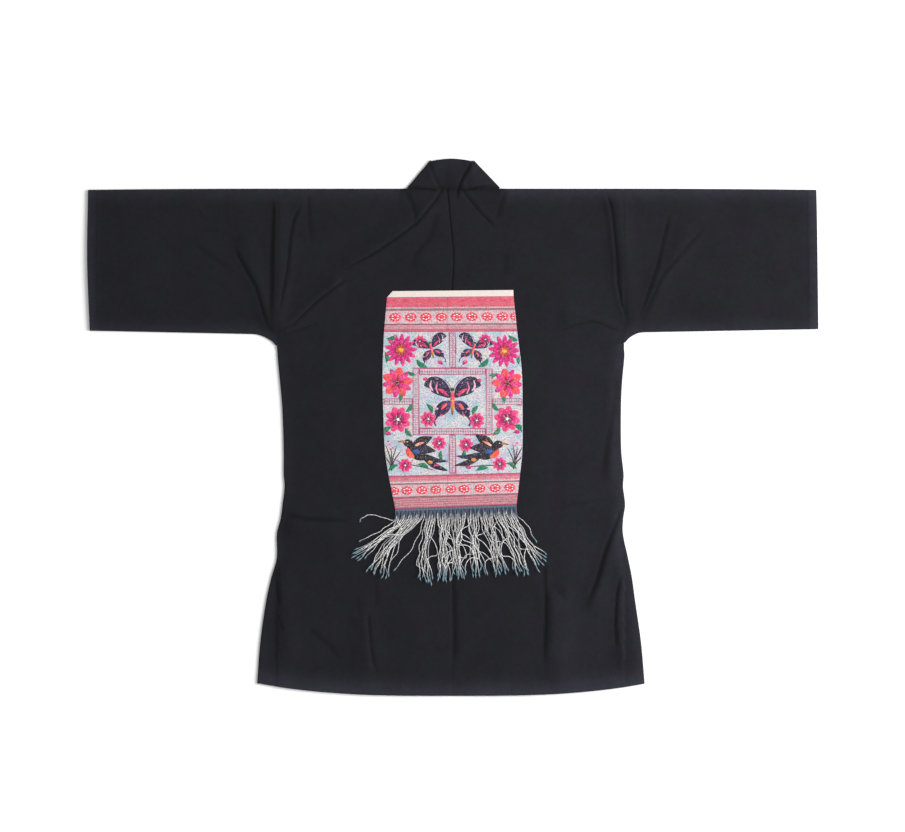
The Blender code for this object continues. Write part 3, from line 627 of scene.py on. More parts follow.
def back_width(side):
    """One width of the back."""
    arm = ARMS[side]
    neck = NECK_TURN[side]
    above, below = arm.underarm_y, arm.underarm_y - UNDERARM_TURN
    # Each column lies at fixed + part * edge, plus what its turn takes off
    fixed_at = [at for at, _ in SEAM_COLUMNS]
    fixed_at += list(LAST_SEAM_COLUMN + (neck - LAST_SEAM_COLUMN) * steps_over(neck - LAST_SEAM_COLUMN)[1:])
    fixed_at += [neck + NECK_TURN_FADE * share for share in (0.25, 0.5, 0.75, 1)]
    first, last_inset = fixed_at[-1], EDGE_TURN[-1].flat_inset
    shares = steps_over(arm.armhole - first)[1:-1]
    turns = EDGE_TURN[::-1]
    spread_out = first * (1 - shares) - last_inset * shares
    fixed = np.concatenate([fixed_at, spread_out, [-t.flat_inset for t in turns]])
    level_columns = len(fixed_at) + len(shares)
    part = np.concatenate([np.zeros(len(fixed_at)), shares, np.ones(len(turns))])
    takes = np.concatenate([np.zeros(level_columns), [t.flat_inset - t.inset for t in turns]])
    tall = np.concatenate([np.ones(level_columns), [t.height for t in turns]])
    draws = np.zeros(len(fixed))
    draws[: len(SEAM_COLUMNS)] = [dip * MM for _, dip in SEAM_COLUMNS]
    # Rows: the shoulder's turn, then level rows to the underarm, then rows that lean with the hem
    level_y = SHOULDER_Y - last_inset - (SHOULDER_Y - last_inset - above) * steps_over(SHOULDER_Y - above)[1:]
    level_y = np.concatenate([level_y, above - UNDERARM_TURN * np.array([0.2, 0.4, 0.6, 0.8, 1.0])])
    lean = steps_over(below - HEM_Y)[1:]
    turn_rows, level_rows = len(EDGE_TURN), len(level_y)
    rows = turn_rows + level_rows + len(lean)

    def place(column, row):
        off_fold = [0] * (rows - turn_rows)
        top = np.array([t.flat_inset for t in EDGE_TURN] + off_fold)[row]
        top_takes = np.array([t.inset - t.flat_inset for t in EDGE_TURN] + off_fold)[row]
        top_tall = np.array([t.height for t in EDGE_TURN] + [1] * (rows - turn_rows))[row]
        row_y = np.concatenate([np.full(turn_rows, SHOULDER_Y), level_y, np.zeros(len(lean))])[row]
        row_lean = np.concatenate([np.zeros(turn_rows + level_rows), lean])[row]
        across = np.full(len(column), 0.2)
        for _ in range(4):
            y = np.where(row_lean > 0, below + (hem_y(across) - below) * row_lean, row_y - top)
            edge = np.where(y > above - 0.0001, arm.armhole, half_width(side, y))
            turned = smooth_step((above - y) / UNDERARM_TURN)
            across = fixed[column] + part[column] * edge + takes[column] * turned
        folded = smooth_step((across - neck) / NECK_TURN_FADE)
        y = y - top_takes * folded
        x = side * across + seam_lean(y) * np.maximum(1 - across / LEAN_REACH, 0)
        hem = hem_lift(HEM_DEPTH, y - hem_y(across))
        drawn = draws[column] * through((HEM_Y, 0.0, SHOULDER_Y), SEAM_DRAW, y)
        height = (cloth_height(x, y) - drawn + hem) * (1 + (tall[column] - 1) * turned)
        return x, y, height * (1 + (top_tall - 1) * folded)

    name = f"back_cloth_{HANDS[side]}"
    cloth = laid_cloth(name, len(fixed), rows, place, CLOTH, turn_over=side == RIGHT)
    dress(cloth, BLACK_CLOTH, f"back_{HANDS[side]}", slot="coat_cloth")


for hand in (LEFT, RIGHT):
    back_width(hand)

# The sleeves: one square of the same cloth each, folded at the shoulder and seamed along its lower edge.
# They are open at the cuff, where the edge is turned in, and join the back at the armhole seam.
CUFF_DEPTH = 0.019
SLEEVE_DEPTH = 0.245
UNDER_ROWS = 24
SLEEVE_STEP = 0.0028
SEAM_TOUCH = 0.00004  # sewn cloths meet here without a gap


def sleeve(side):
    arm = ARMS[side]
    start = arm.armhole + SEAM_TOUCH
    columns = np.concatenate([[0, 0.002, 0.005], steps_over(arm.cuff_middle - start, SLEEVE_STEP)[1:]])
    # Each row lies this share of the way down the upper layer and then back up under it, plus a turn's inset
    inner, under = steps_over(SLEEVE_DEPTH)[1:-1], np.linspace(1, 0, UNDER_ROWS)[1:]
    turns = len(EDGE_TURN)
    insets = np.array([t.inset for t in EDGE_TURN])
    heights = np.array([t.height for t in EDGE_TURN])
    share = np.concatenate([np.zeros(turns), inner, np.ones(turns), under])
    inset = np.concatenate([insets, np.zeros(len(inner)), -insets[::-1], np.zeros(len(under))])
    tall = np.concatenate([heights, np.ones(len(inner)), heights[::-1], np.zeros(len(under))])

    def place(column, row):
        rough = start + (arm.cuff_middle - start) * columns[column]
        lower, top = sleeve_edges(side, rough)
        y = top + (lower - top) * share[row] - inset[row]
        cuff = cuff_edge(side, (top - y) / (top - lower))
        across = start + (cuff - start) * columns[column]
        height = cloth_height(side * across, y) + hem_lift(CUFF_DEPTH, cuff - across)
        return side * across, y, height * tall[row]

    name = f"sleeve_cloth_{HANDS[side]}"
    size = (len(columns), len(share))
    cloth = laid_cloth(name, *size, place, CLOTH, turn_over=side == RIGHT, round_shape=True)
    dress(cloth, BLACK_CLOTH, f"sleeve_{HANDS[side]}", slot="coat_cloth")


for hand in (LEFT, RIGHT):
    sleeve(hand)

# The fronts: straight widths of the same cloth that lie flat under the back, from the side seam to the band.
# They don't show in the photograph, and are finished as plainly as the coat would be there.
BandLevel = namedtuple("BandLevel", "outer_y outer_x inner_y inner_x")
BAND_LEVELS = (
    BandLevel(0.4120, 0.0780, 0.4480, 0.0340),
    BandLevel(0.3850, 0.0740, 0.4050, 0.0230),
    BandLevel(0.3400, 0.0690, 0.3500, 0.0170),
    BandLevel(0.2600, 0.0640, 0.2600, 0.0120),
    BandLevel(0.1000, 0.0610, 0.1000, 0.0090),
    BandLevel(-0.1000, 0.0600, -0.1000, 0.0080),
    BandLevel(-0.3000, 0.0600, -0.3000, 0.0080),
    BandLevel(-0.4745, 0.0600, -0.4745, 0.0080),
)
FRONT_SHORTER = 0.003  # how far the fronts end inside the back's hem


def front_width(side):
    arm = ARMS[side]
    under_back = CLOTH + SEAM_GAP
    top = SHOULDER_Y - under_back
    knots = [level.outer_y for level in reversed(BAND_LEVELS)]
    edges = [level.outer_x for level in reversed(BAND_LEVELS)]
    columns, rows = 36, 120

    def place(column, row):
        share, down = column / (columns - 1), row / (rows - 1)
        y = top + (HEM_Y + FRONT_SHORTER - top) * down
        for _ in range(3):
            inner = through(knots, edges, y) + SEAM_GAP
            side_edge = np.where(y > arm.underarm_y + 0.001, arm.armhole, half_width(side, y) - under_back)
            across = inner + (side_edge - inner) * share
            y = top + (hem_y(across) + FRONT_SHORTER - top) * down
        return side * across, y, np.full(len(share), CLOTH)

    cloth = laid_cloth(f"front_cloth_{HANDS[side]}", columns, rows, place, CLOTH, turn_over=side == RIGHT)
    dress(cloth, BLACK_CLOTH, f"front_{HANDS[side]}", slot="coat_cloth")


for hand in (LEFT, RIGHT):
    front_width(hand)

# The collar: one long band of the cloth, folded double, sewn round the back of the neck and down both fronts.
# It stands a little above the shoulders, and its neck stretch is drawn into a few sharp folds.
BAND_CLOTH = 0.0024
BAND_LOW_Z = BAND_CLOTH / 2
BAND_HIGH_Z = 0.0044
NECK_BOW = 0.0044
NECK_SEAM_Y = SHOULDER_Y + SEAM_TOUCH
NECK_LOW = {LEFT: Vector((-0.0784, NECK_SEAM_Y)), RIGHT: Vector((0.0823, NECK_SEAM_Y))}
NECK_HIGH = {LEFT: Vector((-0.0375, 0.4728)), RIGHT: Vector((0.0362, 0.4724))}
NECK_SECTIONS = 72
FRONT_SECTIONS = 130
NECK_FOLD_RISE = 0.0012
CREASE_SHARE = 0.8  # the band's doubled cloth takes the creases less deep


def collar_sections():
    """Lines across the band, from the left front's hem round the neck to the right front's hem."""
    radius = (BAND_HIGH_Z - BAND_LOW_Z) / 2

    def front(side):
        run = np.linspace(0, 1, FRONT_SECTIONS)
        knots = np.linspace(0, 1, len(BAND_LEVELS))
        lines = [through(knots, values, run) for values in np.array(BAND_LEVELS)[::-1].T]
        return [
            (Vector((side * outer_x, outer_y, BAND_LOW_Z)), Vector((side * inner_x, inner_y, BAND_LOW_Z)))
            for outer_y, outer_x, inner_y, inner_x in zip(*lines)
        ]

    def fold(side):
        low, high = NECK_LOW[side], NECK_HIGH[side]
        outward = (high - low).orthogonal().normalized()
        if outward.x * side < 0:
            outward = -outward
        lines = []
        for angle in np.radians(np.linspace(-90, 90, 9)):
            out = outward * radius * math.cos(angle)
            z = (BAND_LOW_Z + BAND_HIGH_Z) / 2 + radius * math.sin(angle)
            lines.append((Vector((*(low + out), z)), Vector((*(high + out), z))))
        return lines

    neck = []
    for n in range(1, NECK_SECTIONS):
        share = n / NECK_SECTIONS
        low = NECK_LOW[LEFT].lerp(NECK_LOW[RIGHT], share)
        high = NECK_HIGH[LEFT].lerp(NECK_HIGH[RIGHT], share)
        high.y += NECK_BOW * math.sin(math.pi * share)
        lift = NECK_FOLD_RISE * math.sin(3 * math.pi * share) ** 2
        neck.append((Vector((*low, BAND_HIGH_Z + lift)), Vector((*high, BAND_HIGH_Z + lift / 2))))
    return front(LEFT) + fold(LEFT) + neck + (front(RIGHT) + fold(RIGHT))[::-1]


def collar():
    sections = collar_sections()
    outer = np.array([section[0] for section in sections])
    inner = np.array([section[1] for section in sections])
    widths = np.linspace(0, 1, 23)

    def place(column, row):
        point = outer[row] + (inner[row] - outer[row]) * widths[column][:, None]
        x, y, z = point.T
        upper = smooth_step((z - BAND_HIGH_Z + 0.0004) / 0.0004)
        return x, y, z + creased(x, y)[0] * upper * CREASE_SHARE

    band = laid_cloth("collar_cloth", len(widths), len(sections), place, BAND_CLOTH, offset=0.0)
    dress(band, BLACK_CLOTH, "collar_band", slot="coat_cloth")


collar()

# The embroidered panel: a tapered piece of pale cotton sewn on below the neck, with a plain turned edge along
# its top, a striped border above and below, and a ground of close stitches between them.
PANEL_CLOTH = 0.0012
PANEL_TOP = EDGE_HEIGHT + SEAM_GAP + PANEL_CLOTH
PANEL_COLUMNS = 95
PANEL_WIDTH = 0.235
RIM_DROP, RIM_WIDTH = 0.0004, 0.003
HALF_GAP = SEAM_GAP / 2
PanelLevel = namedtuple("PanelLevel", "name left_x left_y right_x right_y")
PANEL_LEVELS = (
    PanelLevel("top", -0.1065, 0.2415, 0.1080, 0.2435),
    PanelLevel("heading", -0.1165, 0.2305, 0.1085, 0.2325),
    PanelLevel("border", -0.1218, 0.1690, 0.1149, 0.1700),
    PanelLevel("upper", -0.1243, 0.0980, 0.1232, 0.0980),
    PanelLevel("middle", -0.1232, 0.0270, 0.1245, 0.0270),
    PanelLevel("lower", -0.1200, -0.0440, 0.1240, -0.0440),
    PanelLevel("field_end", -0.1135, -0.0870, 0.1203, -0.0815),
    PanelLevel("end", -0.1019, -0.1458, 0.1141, -0.1375),
)
LINEN = linear(222, 214, 208)
MAUVE_LINEN = linear(212, 192, 198)
BLUSH = linear(216, 146, 158)
ROSE = linear(208, 88, 116)
RED = linear(216, 62, 84)
PINK_RED = linear(212, 76, 112)
MAGENTA_RED = linear(176, 58, 88)
DUSK = linear(112, 76, 86)
GREY_WHITE = linear(188, 176, 178)
ROSE_GREY = linear(186, 128, 140)
LOW_ROSE = linear(184, 66, 88)


def panel_levels(first, last):
    names = [level.name for level in PANEL_LEVELS]
    return PANEL_LEVELS[names.index(first) : names.index(last) + 1]


def on_panel(first, last, across, down):
    """A place on a stretch of the panel, by its share across from the left and its share down."""
    used = panel_levels(first, last)
    left_down = [-level.left_y for level in used]
    right_down = [-level.right_y for level in used]
    at_left = left_down[0] + (left_down[-1] - left_down[0]) * down
    at_right = right_down[0] + (right_down[-1] - right_down[0]) * down
    left_x = through(left_down, [level.left_x for level in used], at_left)
    right_x = through(right_down, [level.right_x for level in used], at_right)
    return left_x + (right_x - left_x) * across, -at_left + (at_left - at_right) * across


def set_chart(cloth, chart):
    """Lay out the piece's UV map, in metres, from a place for each of its points."""
    corners = np.empty(len(cloth.data.loops), int)
    cloth.data.loops.foreach_get("vertex_index", corners)
    cloth.data.uv_layers["UVMap"].data.foreach_set("uv", chart[corners].ravel())


def panel_cloth(name, node, first, last, top_gap, material, slot):
    """One stretch of the panel, between two of its levels."""
    used = panel_levels(first, last)
    deep = used[0].left_y - used[-1].left_y
    columns, rows = PANEL_COLUMNS, max(round(deep / FINE), 3) + 1

    def place(column, row):
        across, down = column / (columns - 1), row / (rows - 1)
        x, y = on_panel(first, last, across, down)
        y = y - top_gap * (row == 0) + HALF_GAP * (row == rows - 1)
        rim = np.minimum(across, 1 - across) * PANEL_WIDTH
        return x, y, PANEL_TOP - RIM_DROP * (1 - smooth_step(rim / RIM_WIDTH))

    cloth = laid_cloth(name, columns, rows, place, PANEL_CLOTH, turn_over=True)
    x, y, _ = points_of(cloth).T
    span = (x - used[0].left_x) / (used[0].right_x - used[0].left_x)
    top_y = used[0].left_y + (used[0].right_y - used[0].left_y) * span
    low_y = used[-1].left_y + (used[-1].right_y - used[-1].left_y) * span
    set_chart(cloth, np.stack([x, (top_y - y) / (top_y - low_y) * deep], axis=1))
    dress(cloth, material, node, slot=slot)


def ridges(tree, chart, pitch, direction, distortion, detail, detail_scale=1.0):
    """A wave for each thread, a pitch apart along X or Y."""
    inputs = {
        "Vector": chart,
        "Scale": 2 * math.pi / (20 * pitch),
        "Distortion": distortion,
        "Detail": detail,
        "Detail Scale": detail_scale,
    }
    return add_node(tree, "ShaderNodeTexWave", inputs, bands_direction=direction).outputs["Fac"]


def weave(tree, chart, pitch, depth):
    """A plain weave in relief: one wave for the warp and one for the weft."""
    warp, weft = (ridges(tree, chart, pitch, direction, 1.5, 1.0) for direction in ("X", "Y"))
    return worked_out(tree, "ADD", warp, weft), 0.7, depth


def uv_place(tree):
    return add_node(tree, "ShaderNodeUVMap", uv_map="UVMap").outputs[0]


def blend_colours(tree, amount, first, second):
    """Colour that goes from the first to the second as the amount goes from 0 to 1."""
    mix = add_node(tree, "ShaderNodeMix", data_type="RGBA")
    sockets = {socket.identifier: socket for socket in mix.inputs}
    for identifier, value in (("Factor_Float", amount), ("A_Color", first), ("B_Color", second)):
        if isinstance(value, bpy.types.NodeSocket):
            tree.links.new(value, sockets[identifier])
        else:
            sockets[identifier].default_value = value
    return next(socket for socket in mix.outputs if socket.identifier == "Result_Color")


STRIPE_SCALE = 0.064
STRIPE_WANDER = 0.0018
# The pressed line is painted into the borders as a dark line of shade
PRESSED_LINE_X = -0.0085  # the centre seam below has pressed a line into the borders
PRESSED_WIDTH = 0.0022


def striped_finish(name, stripes, speckle_from, speckle_to):
    """Cotton woven in stripes across the coat: the depth in mm at which each starts, and its colour."""
    material, tree, shader = new_finish(name, 0.8, 0.1)
    chart = uv_place(tree)
    across, down, _ = add_node(tree, "ShaderNodeSeparateXYZ", {"Vector": chart}).outputs
    bent = worked_out(tree, "MULTIPLY_ADD", noise(tree, chart, 45.0, 4.0), STRIPE_WANDER, down)
    depth = worked_out(tree, "MULTIPLY", bent, 1 / STRIPE_SCALE)
    stops = [(0.0, stripes[0][1])]
    stops += [((start * MM + STRIPE_WANDER / 2) / STRIPE_SCALE, colour) for start, colour in stripes[1:]]
    woven = colour_ramp(tree, depth, stops, "CONSTANT")
    # Small dots of thread in the band of rosettes
    dots = add_node(tree, "ShaderNodeTexVoronoi", {"Vector": chart, "Scale": 430.0, "Randomness": 0.6})
    dotted = spread(tree, dots.outputs["Distance"], 0.42, 0.2)
    inside = worked_out(tree, "GREATER_THAN", down, speckle_from * MM)
    before = worked_out(tree, "LESS_THAN", down, speckle_to * MM)
    band = worked_out(tree, "MULTIPLY", inside, before)
    worn_and_painted_shade = blend_colours(tree, worked_out(tree, "MULTIPLY", band, dotted), woven, LOW_ROSE)
    # Pale slubs across, dark dashes of thread, a slow drift of the dye, and painted shade along the line
    # pressed by the seam
    slubs = noise(tree, stretched(tree, chart, (90, 900, 1)), 1.0, 3.0)
    dashes = noise(tree, stretched(tree, chart, (520, 230, 1)), 1.0, 1.0)
    off_line = worked_out(tree, "ABSOLUTE", worked_out(tree, "ADD", across, -PRESSED_LINE_X))
    wear_and_painted_light = (
        (spread(tree, slubs, 0.40, 0.72, 0.0, 0.30), LINEN),
        (spread(tree, dashes, 0.44, 0.66, 0.0, 0.52), MAGENTA_RED),
        (spread(tree, noise(tree, chart, 28.0), 0.3, 0.7, 0.0, 0.18), DUSK),
        # painted shade along the pressed line
        (spread(tree, off_line, 0.0, PRESSED_WIDTH, 0.40, 0.0), DUSK),
    )
    for amount, colour in wear_and_painted_light:
        worn_and_painted_shade = blend_colours(tree, amount, worn_and_painted_shade, colour)
    set_surface(tree, shader, worn_and_painted_shade, weave(tree, chart, 0.0011, 0.0002))
    return material


def linen_finish():
    """Undyed cotton of a loose weave, a little grubby along its threads."""
    material, tree, shader = new_finish("pale_linen", 0.85, 0.1)
    chart = uv_place(tree)
    slubs = spread(tree, noise(tree, stretched(tree, chart, (120, 700, 1)), 1.0, 3.0), 0.3, 0.8)
    colour = blend_colours(tree, slubs, LINEN, linear(214, 198, 190))
    set_surface(tree, shader, colour, weave(tree, chart, 0.0012, 0.00025))
    return material


BAND_GROUND = linear(160, 68, 112)
GROUND_SHADES = (
    (0.52, linear(150, 166, 182)),
    (0.66, linear(180, 194, 204)),
    (0.78, linear(198, 202, 204)),
    (0.88, linear(210, 206, 200)),
    (1.00, linear(204, 196, 182)),
)
WASHES = (((0.0, 0.0, 0.0), linear(186, 150, 190)), ((0.3, 0.2, 0.0), linear(122, 176, 178)))


def ground_finish():
    """Close pale stitches that cover the whole field, mottled in sky blue, cream and grey."""
    material, tree, shader = new_finish("stitched_ground", 0.75, 0.12)
    chart = uv_place(tree)
    rows = stretched(tree, chart, (170, 420, 1))
    tone = worked_out(tree, "MULTIPLY_ADD", noise(tree, chart, 38.0, 3.0), 1.1, -0.05)
    tone = worked_out(tree, "MULTIPLY_ADD", noise(tree, rows, 1.6), 0.55, tone)
    worked = colour_ramp(tree, tone, GROUND_SHADES)
    specks = spread(tree, noise(tree, chart, 420.0), 0.46, 0.66, 0.0, 0.85)
    worked = blend_colours(tree, specks, worked, linear(124, 112, 138))
    for offset, wash in WASHES:
        cloud = noise(tree, stretched(tree, chart, moved=offset), 62.0, 5.0)
        worked = blend_colours(tree, spread(tree, cloud, 0.50, 0.66, 0.0, 0.55), worked, wash)
    banded = add_node(tree, "ShaderNodeAttribute", attribute_name="band").outputs["Fac"]
    stitches = add_node(tree, "ShaderNodeTexVoronoi", {"Vector": rows, "Scale": 2.2}).outputs["Distance"]
    set_surface(tree, shader, blend_colours(tree, banded, worked, BAND_GROUND), (stitches, 0.6, 0.0003))
    return material


TOP_STRIPES = (
    (0.0, PINK_RED), (4.0, RED), (9.5, PINK_RED), (14.5, RED), (17.8, GREY_WHITE), (20.6, DUSK),
    (22.0, linear(138, 104, 114)), (24.6, MAUVE_LINEN), (46.3, GREY_WHITE), (47.0, DUSK), (49.8, GREY_WHITE),
    (50.8, BLUSH), (52.0, ROSE_GREY), (53.4, GREY_WHITE), (54.4, ROSE_GREY), (55.6, BLUSH),
    (56.8, MAGENTA_RED), (58.4, ROSE), (59.6, MAGENTA_RED),
)
LOW_STRIPES = (
    (0.0, MAGENTA_RED), (2.6, ROSE), (5.2, BLUSH), (6.4, ROSE), (7.8, ROSE_GREY), (9.0, BLUSH),
    (10.4, ROSE_GREY), (11.6, LINEN), (13.0, GREY_WHITE), (14.0, DUSK), (16.4, MAUVE_LINEN),
    (36.6, GREY_WHITE), (37.6, DUSK), (40.0, LOW_ROSE),
)
top_finish = striped_finish("top_border_stripes", TOP_STRIPES, 25.4, 45.8)
low_finish = striped_finish("low_border_stripes", LOW_STRIPES, 17.0, 36.2)
panel_cloth("heading_cloth", "panel_heading", "top", "heading", 0, linen_finish(), "pale_linen")
panel_cloth("top_border_cloth", "panel_border_top", "heading", "border", HALF_GAP, top_finish, "red_border")
panel_cloth("field_cloth", "panel_field", "border", "field_end", HALF_GAP, ground_finish(), "stitched_ground")
panel_cloth("low_border_cloth", "panel_border_bottom", "field_end", "end", HALF_GAP, low_finish, "red_border")

# The embroidery: silk in satin stitch, each petal, feather and leaf a small raised pad of parallel threads.
# Rosettes run along both borders. The field has a generic garden of flowers, leaves, birds and butterflies,
# drawn for this model.
THREADS = {
    "black": linear(20, 20, 26),
    "ink": linear(36, 30, 66),
    "violet": linear(76, 44, 116),
    "blue": linear(30, 86, 146),
    "orange": linear(228, 100, 52),
    "amber": linear(204, 132, 66),
    "sand": linear(218, 182, 150),
    "yellow": linear(228, 172, 52),
    "magenta": linear(188, 16, 104),
    "pink": linear(222, 60, 134),
    "coral": linear(230, 72, 84),
    "pale": linear(222, 176, 188),
    "red": linear(206, 30, 58),
    "wine": linear(112, 20, 52),
    "green": linear(12, 112, 78),
    "moss": linear(34, 62, 42),
    "brown": linear(66, 38, 36),
    "white": linear(242, 234, 238),
    "blush": linear(228, 178, 188),
    "mauve": linear(138, 92, 116),
    "crimson": linear(164, 42, 82),
}
STITCH_PITCH = 0.0009
PAD_HEIGHT = 0.0005
PAD_SINK = 0.0001  # how far a pad's threads start below the panel's face
PAD_EDGE_SINK = 0.0002
PAD_STEP = 0.0013
THIN_PAD = 3  # a pad narrower than this, in mm, is shaped with fewer rows
BROAD_PAD = 0.002  # half the width at which a pad has its full height
PAD_SLOPE = 0.16  # a pad's ends slope down where they are narrower than this share of its width
OVAL_END, BLUNT_END = 2, 10
EMBROIDERY_MARGIN = 0.0012

# One pad of stitches: the path down its middle in mm, its widths and its threads along the path, and how far
# it lies above the ones below it. A path of two points is an oval.
Pad = namedtuple("Pad", "path widths threads lift")


def silk_finish():
    """Floss silk: parallel threads across each pad, with a painted highlight along their crowns and painted
    shade between them, and pale stitches among.
    """
    material, tree, shader = new_finish("embroidery_silk", 0.6, 0.04)
    colour = add_node(tree, "ShaderNodeAttribute", attribute_name="thread").outputs["Color"]
    chart = uv_place(tree)
    place = add_node(tree, "ShaderNodeTexCoord").outputs["Object"]
    threads = ridges(tree, chart, STITCH_PITCH, "X", 2.0, 2.0, 0.4)
    mottle = spread(tree, noise(tree, place, 300.0, 3.0), 0.32, 0.68, 0.12, 0.80)
    # Painted highlight on each thread's crown and painted shade between threads
    level = worked_out(tree, "MULTIPLY_ADD", threads, 0.36, mottle)
    level = worked_out(tree, "MULTIPLY_ADD", noise(tree, chart, 900.0), 0.60, level)
    pale = spread(tree, noise(tree, place, 520.0), 0.56, 0.72, 0.0, 0.42)
    stitched = blend_colours(tree, pale, multiplied(tree, colour, level), linear(226, 196, 208))
    set_surface(tree, shader, stitched, (threads, 0.6, 0.0002))
    return material


SILK = silk_finish()


def satin_pad(pad, at, turn, size, flip):
    """One pad as a low dome on the panel, turned and sized about its motif's middle."""
    path = np.array(pad.path) * size * MM
    path[:, 0] *= flip
    ahead, side = math.cos(turn), math.sin(turn)
    path = np.stack([path[:, 0] * ahead - path[:, 1] * side, path[:, 0] * side + path[:, 1] * ahead], axis=1)
    path += np.array(at) * MM
    run = along_path(path)
    oval = len(path) == 2
    columns = min(max(round(run[-1] / PAD_STEP), 6), 30) + 1
    rows = 5 if max(pad.widths) * size < THIN_PAD else 7
    piece = new_grid(columns, rows)
    grid = points_of(piece)
    t, s = grid[:, 0] + 0.5, grid[:, 1] * 2
    if oval:
        t = 0.5 - 0.5 * np.cos(math.pi * t)
    along = t * run[-1]
    x, y = through(run, path[:, 0], along), through(run, path[:, 1], along)
    step = run[-1] * 0.01
    lead_x, lead_y = (through(run, line, along + step) - through(run, line, along - step) for line in path.T)
    length = np.hypot(lead_x, lead_y)
    widths = np.array(pad.widths) * size * MM / 2
    if len(widths) == 1:
        half = np.full(len(t), widths[0])
    else:
        half = through(np.linspace(0, 1, len(widths)), widths, t)
    half *= np.sqrt(np.maximum(1 - np.abs(2 * t - 1) ** (OVAL_END if oval else BLUNT_END), 0.0004))
    low = half.max() * PAD_SLOPE
    crown = PAD_HEIGHT * min(half.max() / BROAD_PAD, 1.2)
    dome = crown * np.sqrt(np.maximum(1 - s**2, 0)) * np.minimum(half / low, 1)
    z = np.where(np.abs(s) > 0.99, PANEL_TOP - PAD_EDGE_SINK, PANEL_TOP - PAD_SINK + pad.lift * MM + dome)
    place = np.stack([x - lead_y / length * half * s, y + lead_x / length * half * s, z], axis=1)
    knots = [-level.left_y for level in PANEL_LEVELS]
    left = through(knots, [level.left_x for level in PANEL_LEVELS], -place[:, 1]) + EMBROIDERY_MARGIN
    right = through(knots, [level.right_x for level in PANEL_LEVELS], -place[:, 1]) - EMBROIDERY_MARGIN
    place[:, 0] = np.clip(place[:, 0], left, right)
    piece.data.vertices.foreach_set("co", place.ravel())
    shades = np.array([THREADS[thread] for thread in pad.threads])
    marks = np.linspace(0, 1, len(shades)) if len(shades) > 1 else np.array([0.0, 1.0])
    shades = shades if len(shades) > 1 else np.repeat(shades, 2, axis=0)
    mark_points(piece, "thread", np.stack([np.interp(t, marks, shade) for shade in shades.T], axis=1))
    set_chart(piece, np.stack([along, half * s], axis=1))
    piece.data.shade_smooth()
    return piece


def sewn(name, motifs):
    """All the pads of some motifs as one piece. Each motif is its pads, place in mm, turn, size and flip."""
    bpy.ops.object.select_all(action="DESELECT")
    pieces = []
    for pads, at, turn, size, flip in motifs:
        pieces += [satin_pad(pad, at, math.radians(turn), size, flip) for pad in pads]
    join(name, pieces)
    dress(pieces[0], SILK, slot="stitched_ground")


def join(name, pieces):
    bpy.ops.object.select_all(action="DESELECT")
    for piece in pieces:
        piece.select_set(True)
    bpy.context.view_layer.objects.active = pieces[0]
    bpy.ops.object.join()
    pieces[0].name = name


def round_about(count, first_turn=0.0):
    """Directions spread evenly round a circle."""
    angles = np.radians(first_turn + np.arange(count) * 360 / count)
    return [(math.cos(angle), math.sin(angle)) for angle in angles]


def spot(x, y, wide, tall, thread, lift=0.0):
    """An oval of one thread."""
    return Pad(((x - wide / 2, y), (x + wide / 2, y)), (tall,), (thread,), lift)


ROSETTE = [spot(0, 0, 20.6, 16.2, "coral", 0.0)]
ROSETTE += [
    Pad(((6.4 * x, 5.0 * y), (8.4 * x, 6.6 * y), (10.2 * x, 8.0 * y)), (2.4, 3.6, 2.6), ("red",), 0.25)
    for x, y in round_about(11, 18)
]
ROSETTE += [spot(5.4 * x, 4.2 * y, 3.4, 2.9, "white", 0.55) for x, y in round_about(6, 30)]
ROSETTE += [spot(8.9 * x, 7.0 * y, 1.6, 1.4, "pale", 0.70) for x, y in round_about(5, 50)]
ROSETTE += [spot(side * 3.1, -0.2, 2.4, 2.4, "wine", 0.75) for side in (LEFT, RIGHT)]
ROSETTE += [Pad(((0, -4.8), (0, 0), (0, 4.8)), (1.7,), ("mauve",), 0.60)]
TOP_ROSETTES_X = (-101.8, -74.1, -47.0, -19.4, 7.6, 34.7, 62.0, 89.0, 112.5)
LOW_ROSETTES_X = (-104.1, -81.0, -54.3, -29.4, -2.7, 20.5, 48.9, 75.7, 102.0)
# Each row of rosettes: their places across, how far up the row lies at the middle and how much it leans, how
# much and how fast the rosettes are turned, one by one, and their size
Row = namedtuple("Row", "places up lean turn turn_step size")
ROWS = (
    Row(TOP_ROSETTES_X, 195.8, 0.0085, 5, 1, 1.0),
    Row(LOW_ROSETTES_X, -110.6, 0.030, 4, 2, 0.96),
)
rosettes = [
    (ROSETTE, (x, row.up + row.lean * x), row.turn * math.sin(row.turn_step * number), row.size, 1)
    for row in ROWS
    for number, x in enumerate(row.places)
]
sewn("rosettes", rosettes)

# The lattice: bands of white cross-stitches on rose, between lines of couched crimson thread.
# It frames a square in the middle of the field and ties the square to the field's edges.
CROSS_SIZE = 3.9
CROSS_WIDE = 2.0
CROSS_HEIGHT = 0.5
CROSS_LIFT = 0.0001  # how far a stitch's middle lies above the panel's face
BAND_LINES = ((0.05, 1.1), (0.50, 0.6), (0.95, 1.1))  # share of the band's width, and the line's width


def cross_stitch():
    """One stitch: two short raised bars that cross."""
    bars = []
    for turn in (45, -45):
        bpy.ops.object.select_all(action="DESELECT")
        bpy.ops.mesh.primitive_cube_add(size=1)
        bar = bpy.context.object
        bpy.ops.object.mode_set(mode="EDIT")
        bpy.ops.mesh.select_all(action="SELECT")
        bpy.ops.transform.resize(value=(CROSS_SIZE * MM, CROSS_WIDE * MM, CROSS_HEIGHT * MM))
        bpy.ops.transform.rotate(value=math.radians(turn), orient_axis="Z", center_override=(0, 0, 0))
        bpy.ops.object.mode_set(mode="OBJECT")
        bars.append(bar)
    join("cross_stitch", bars)
    return bars[0]


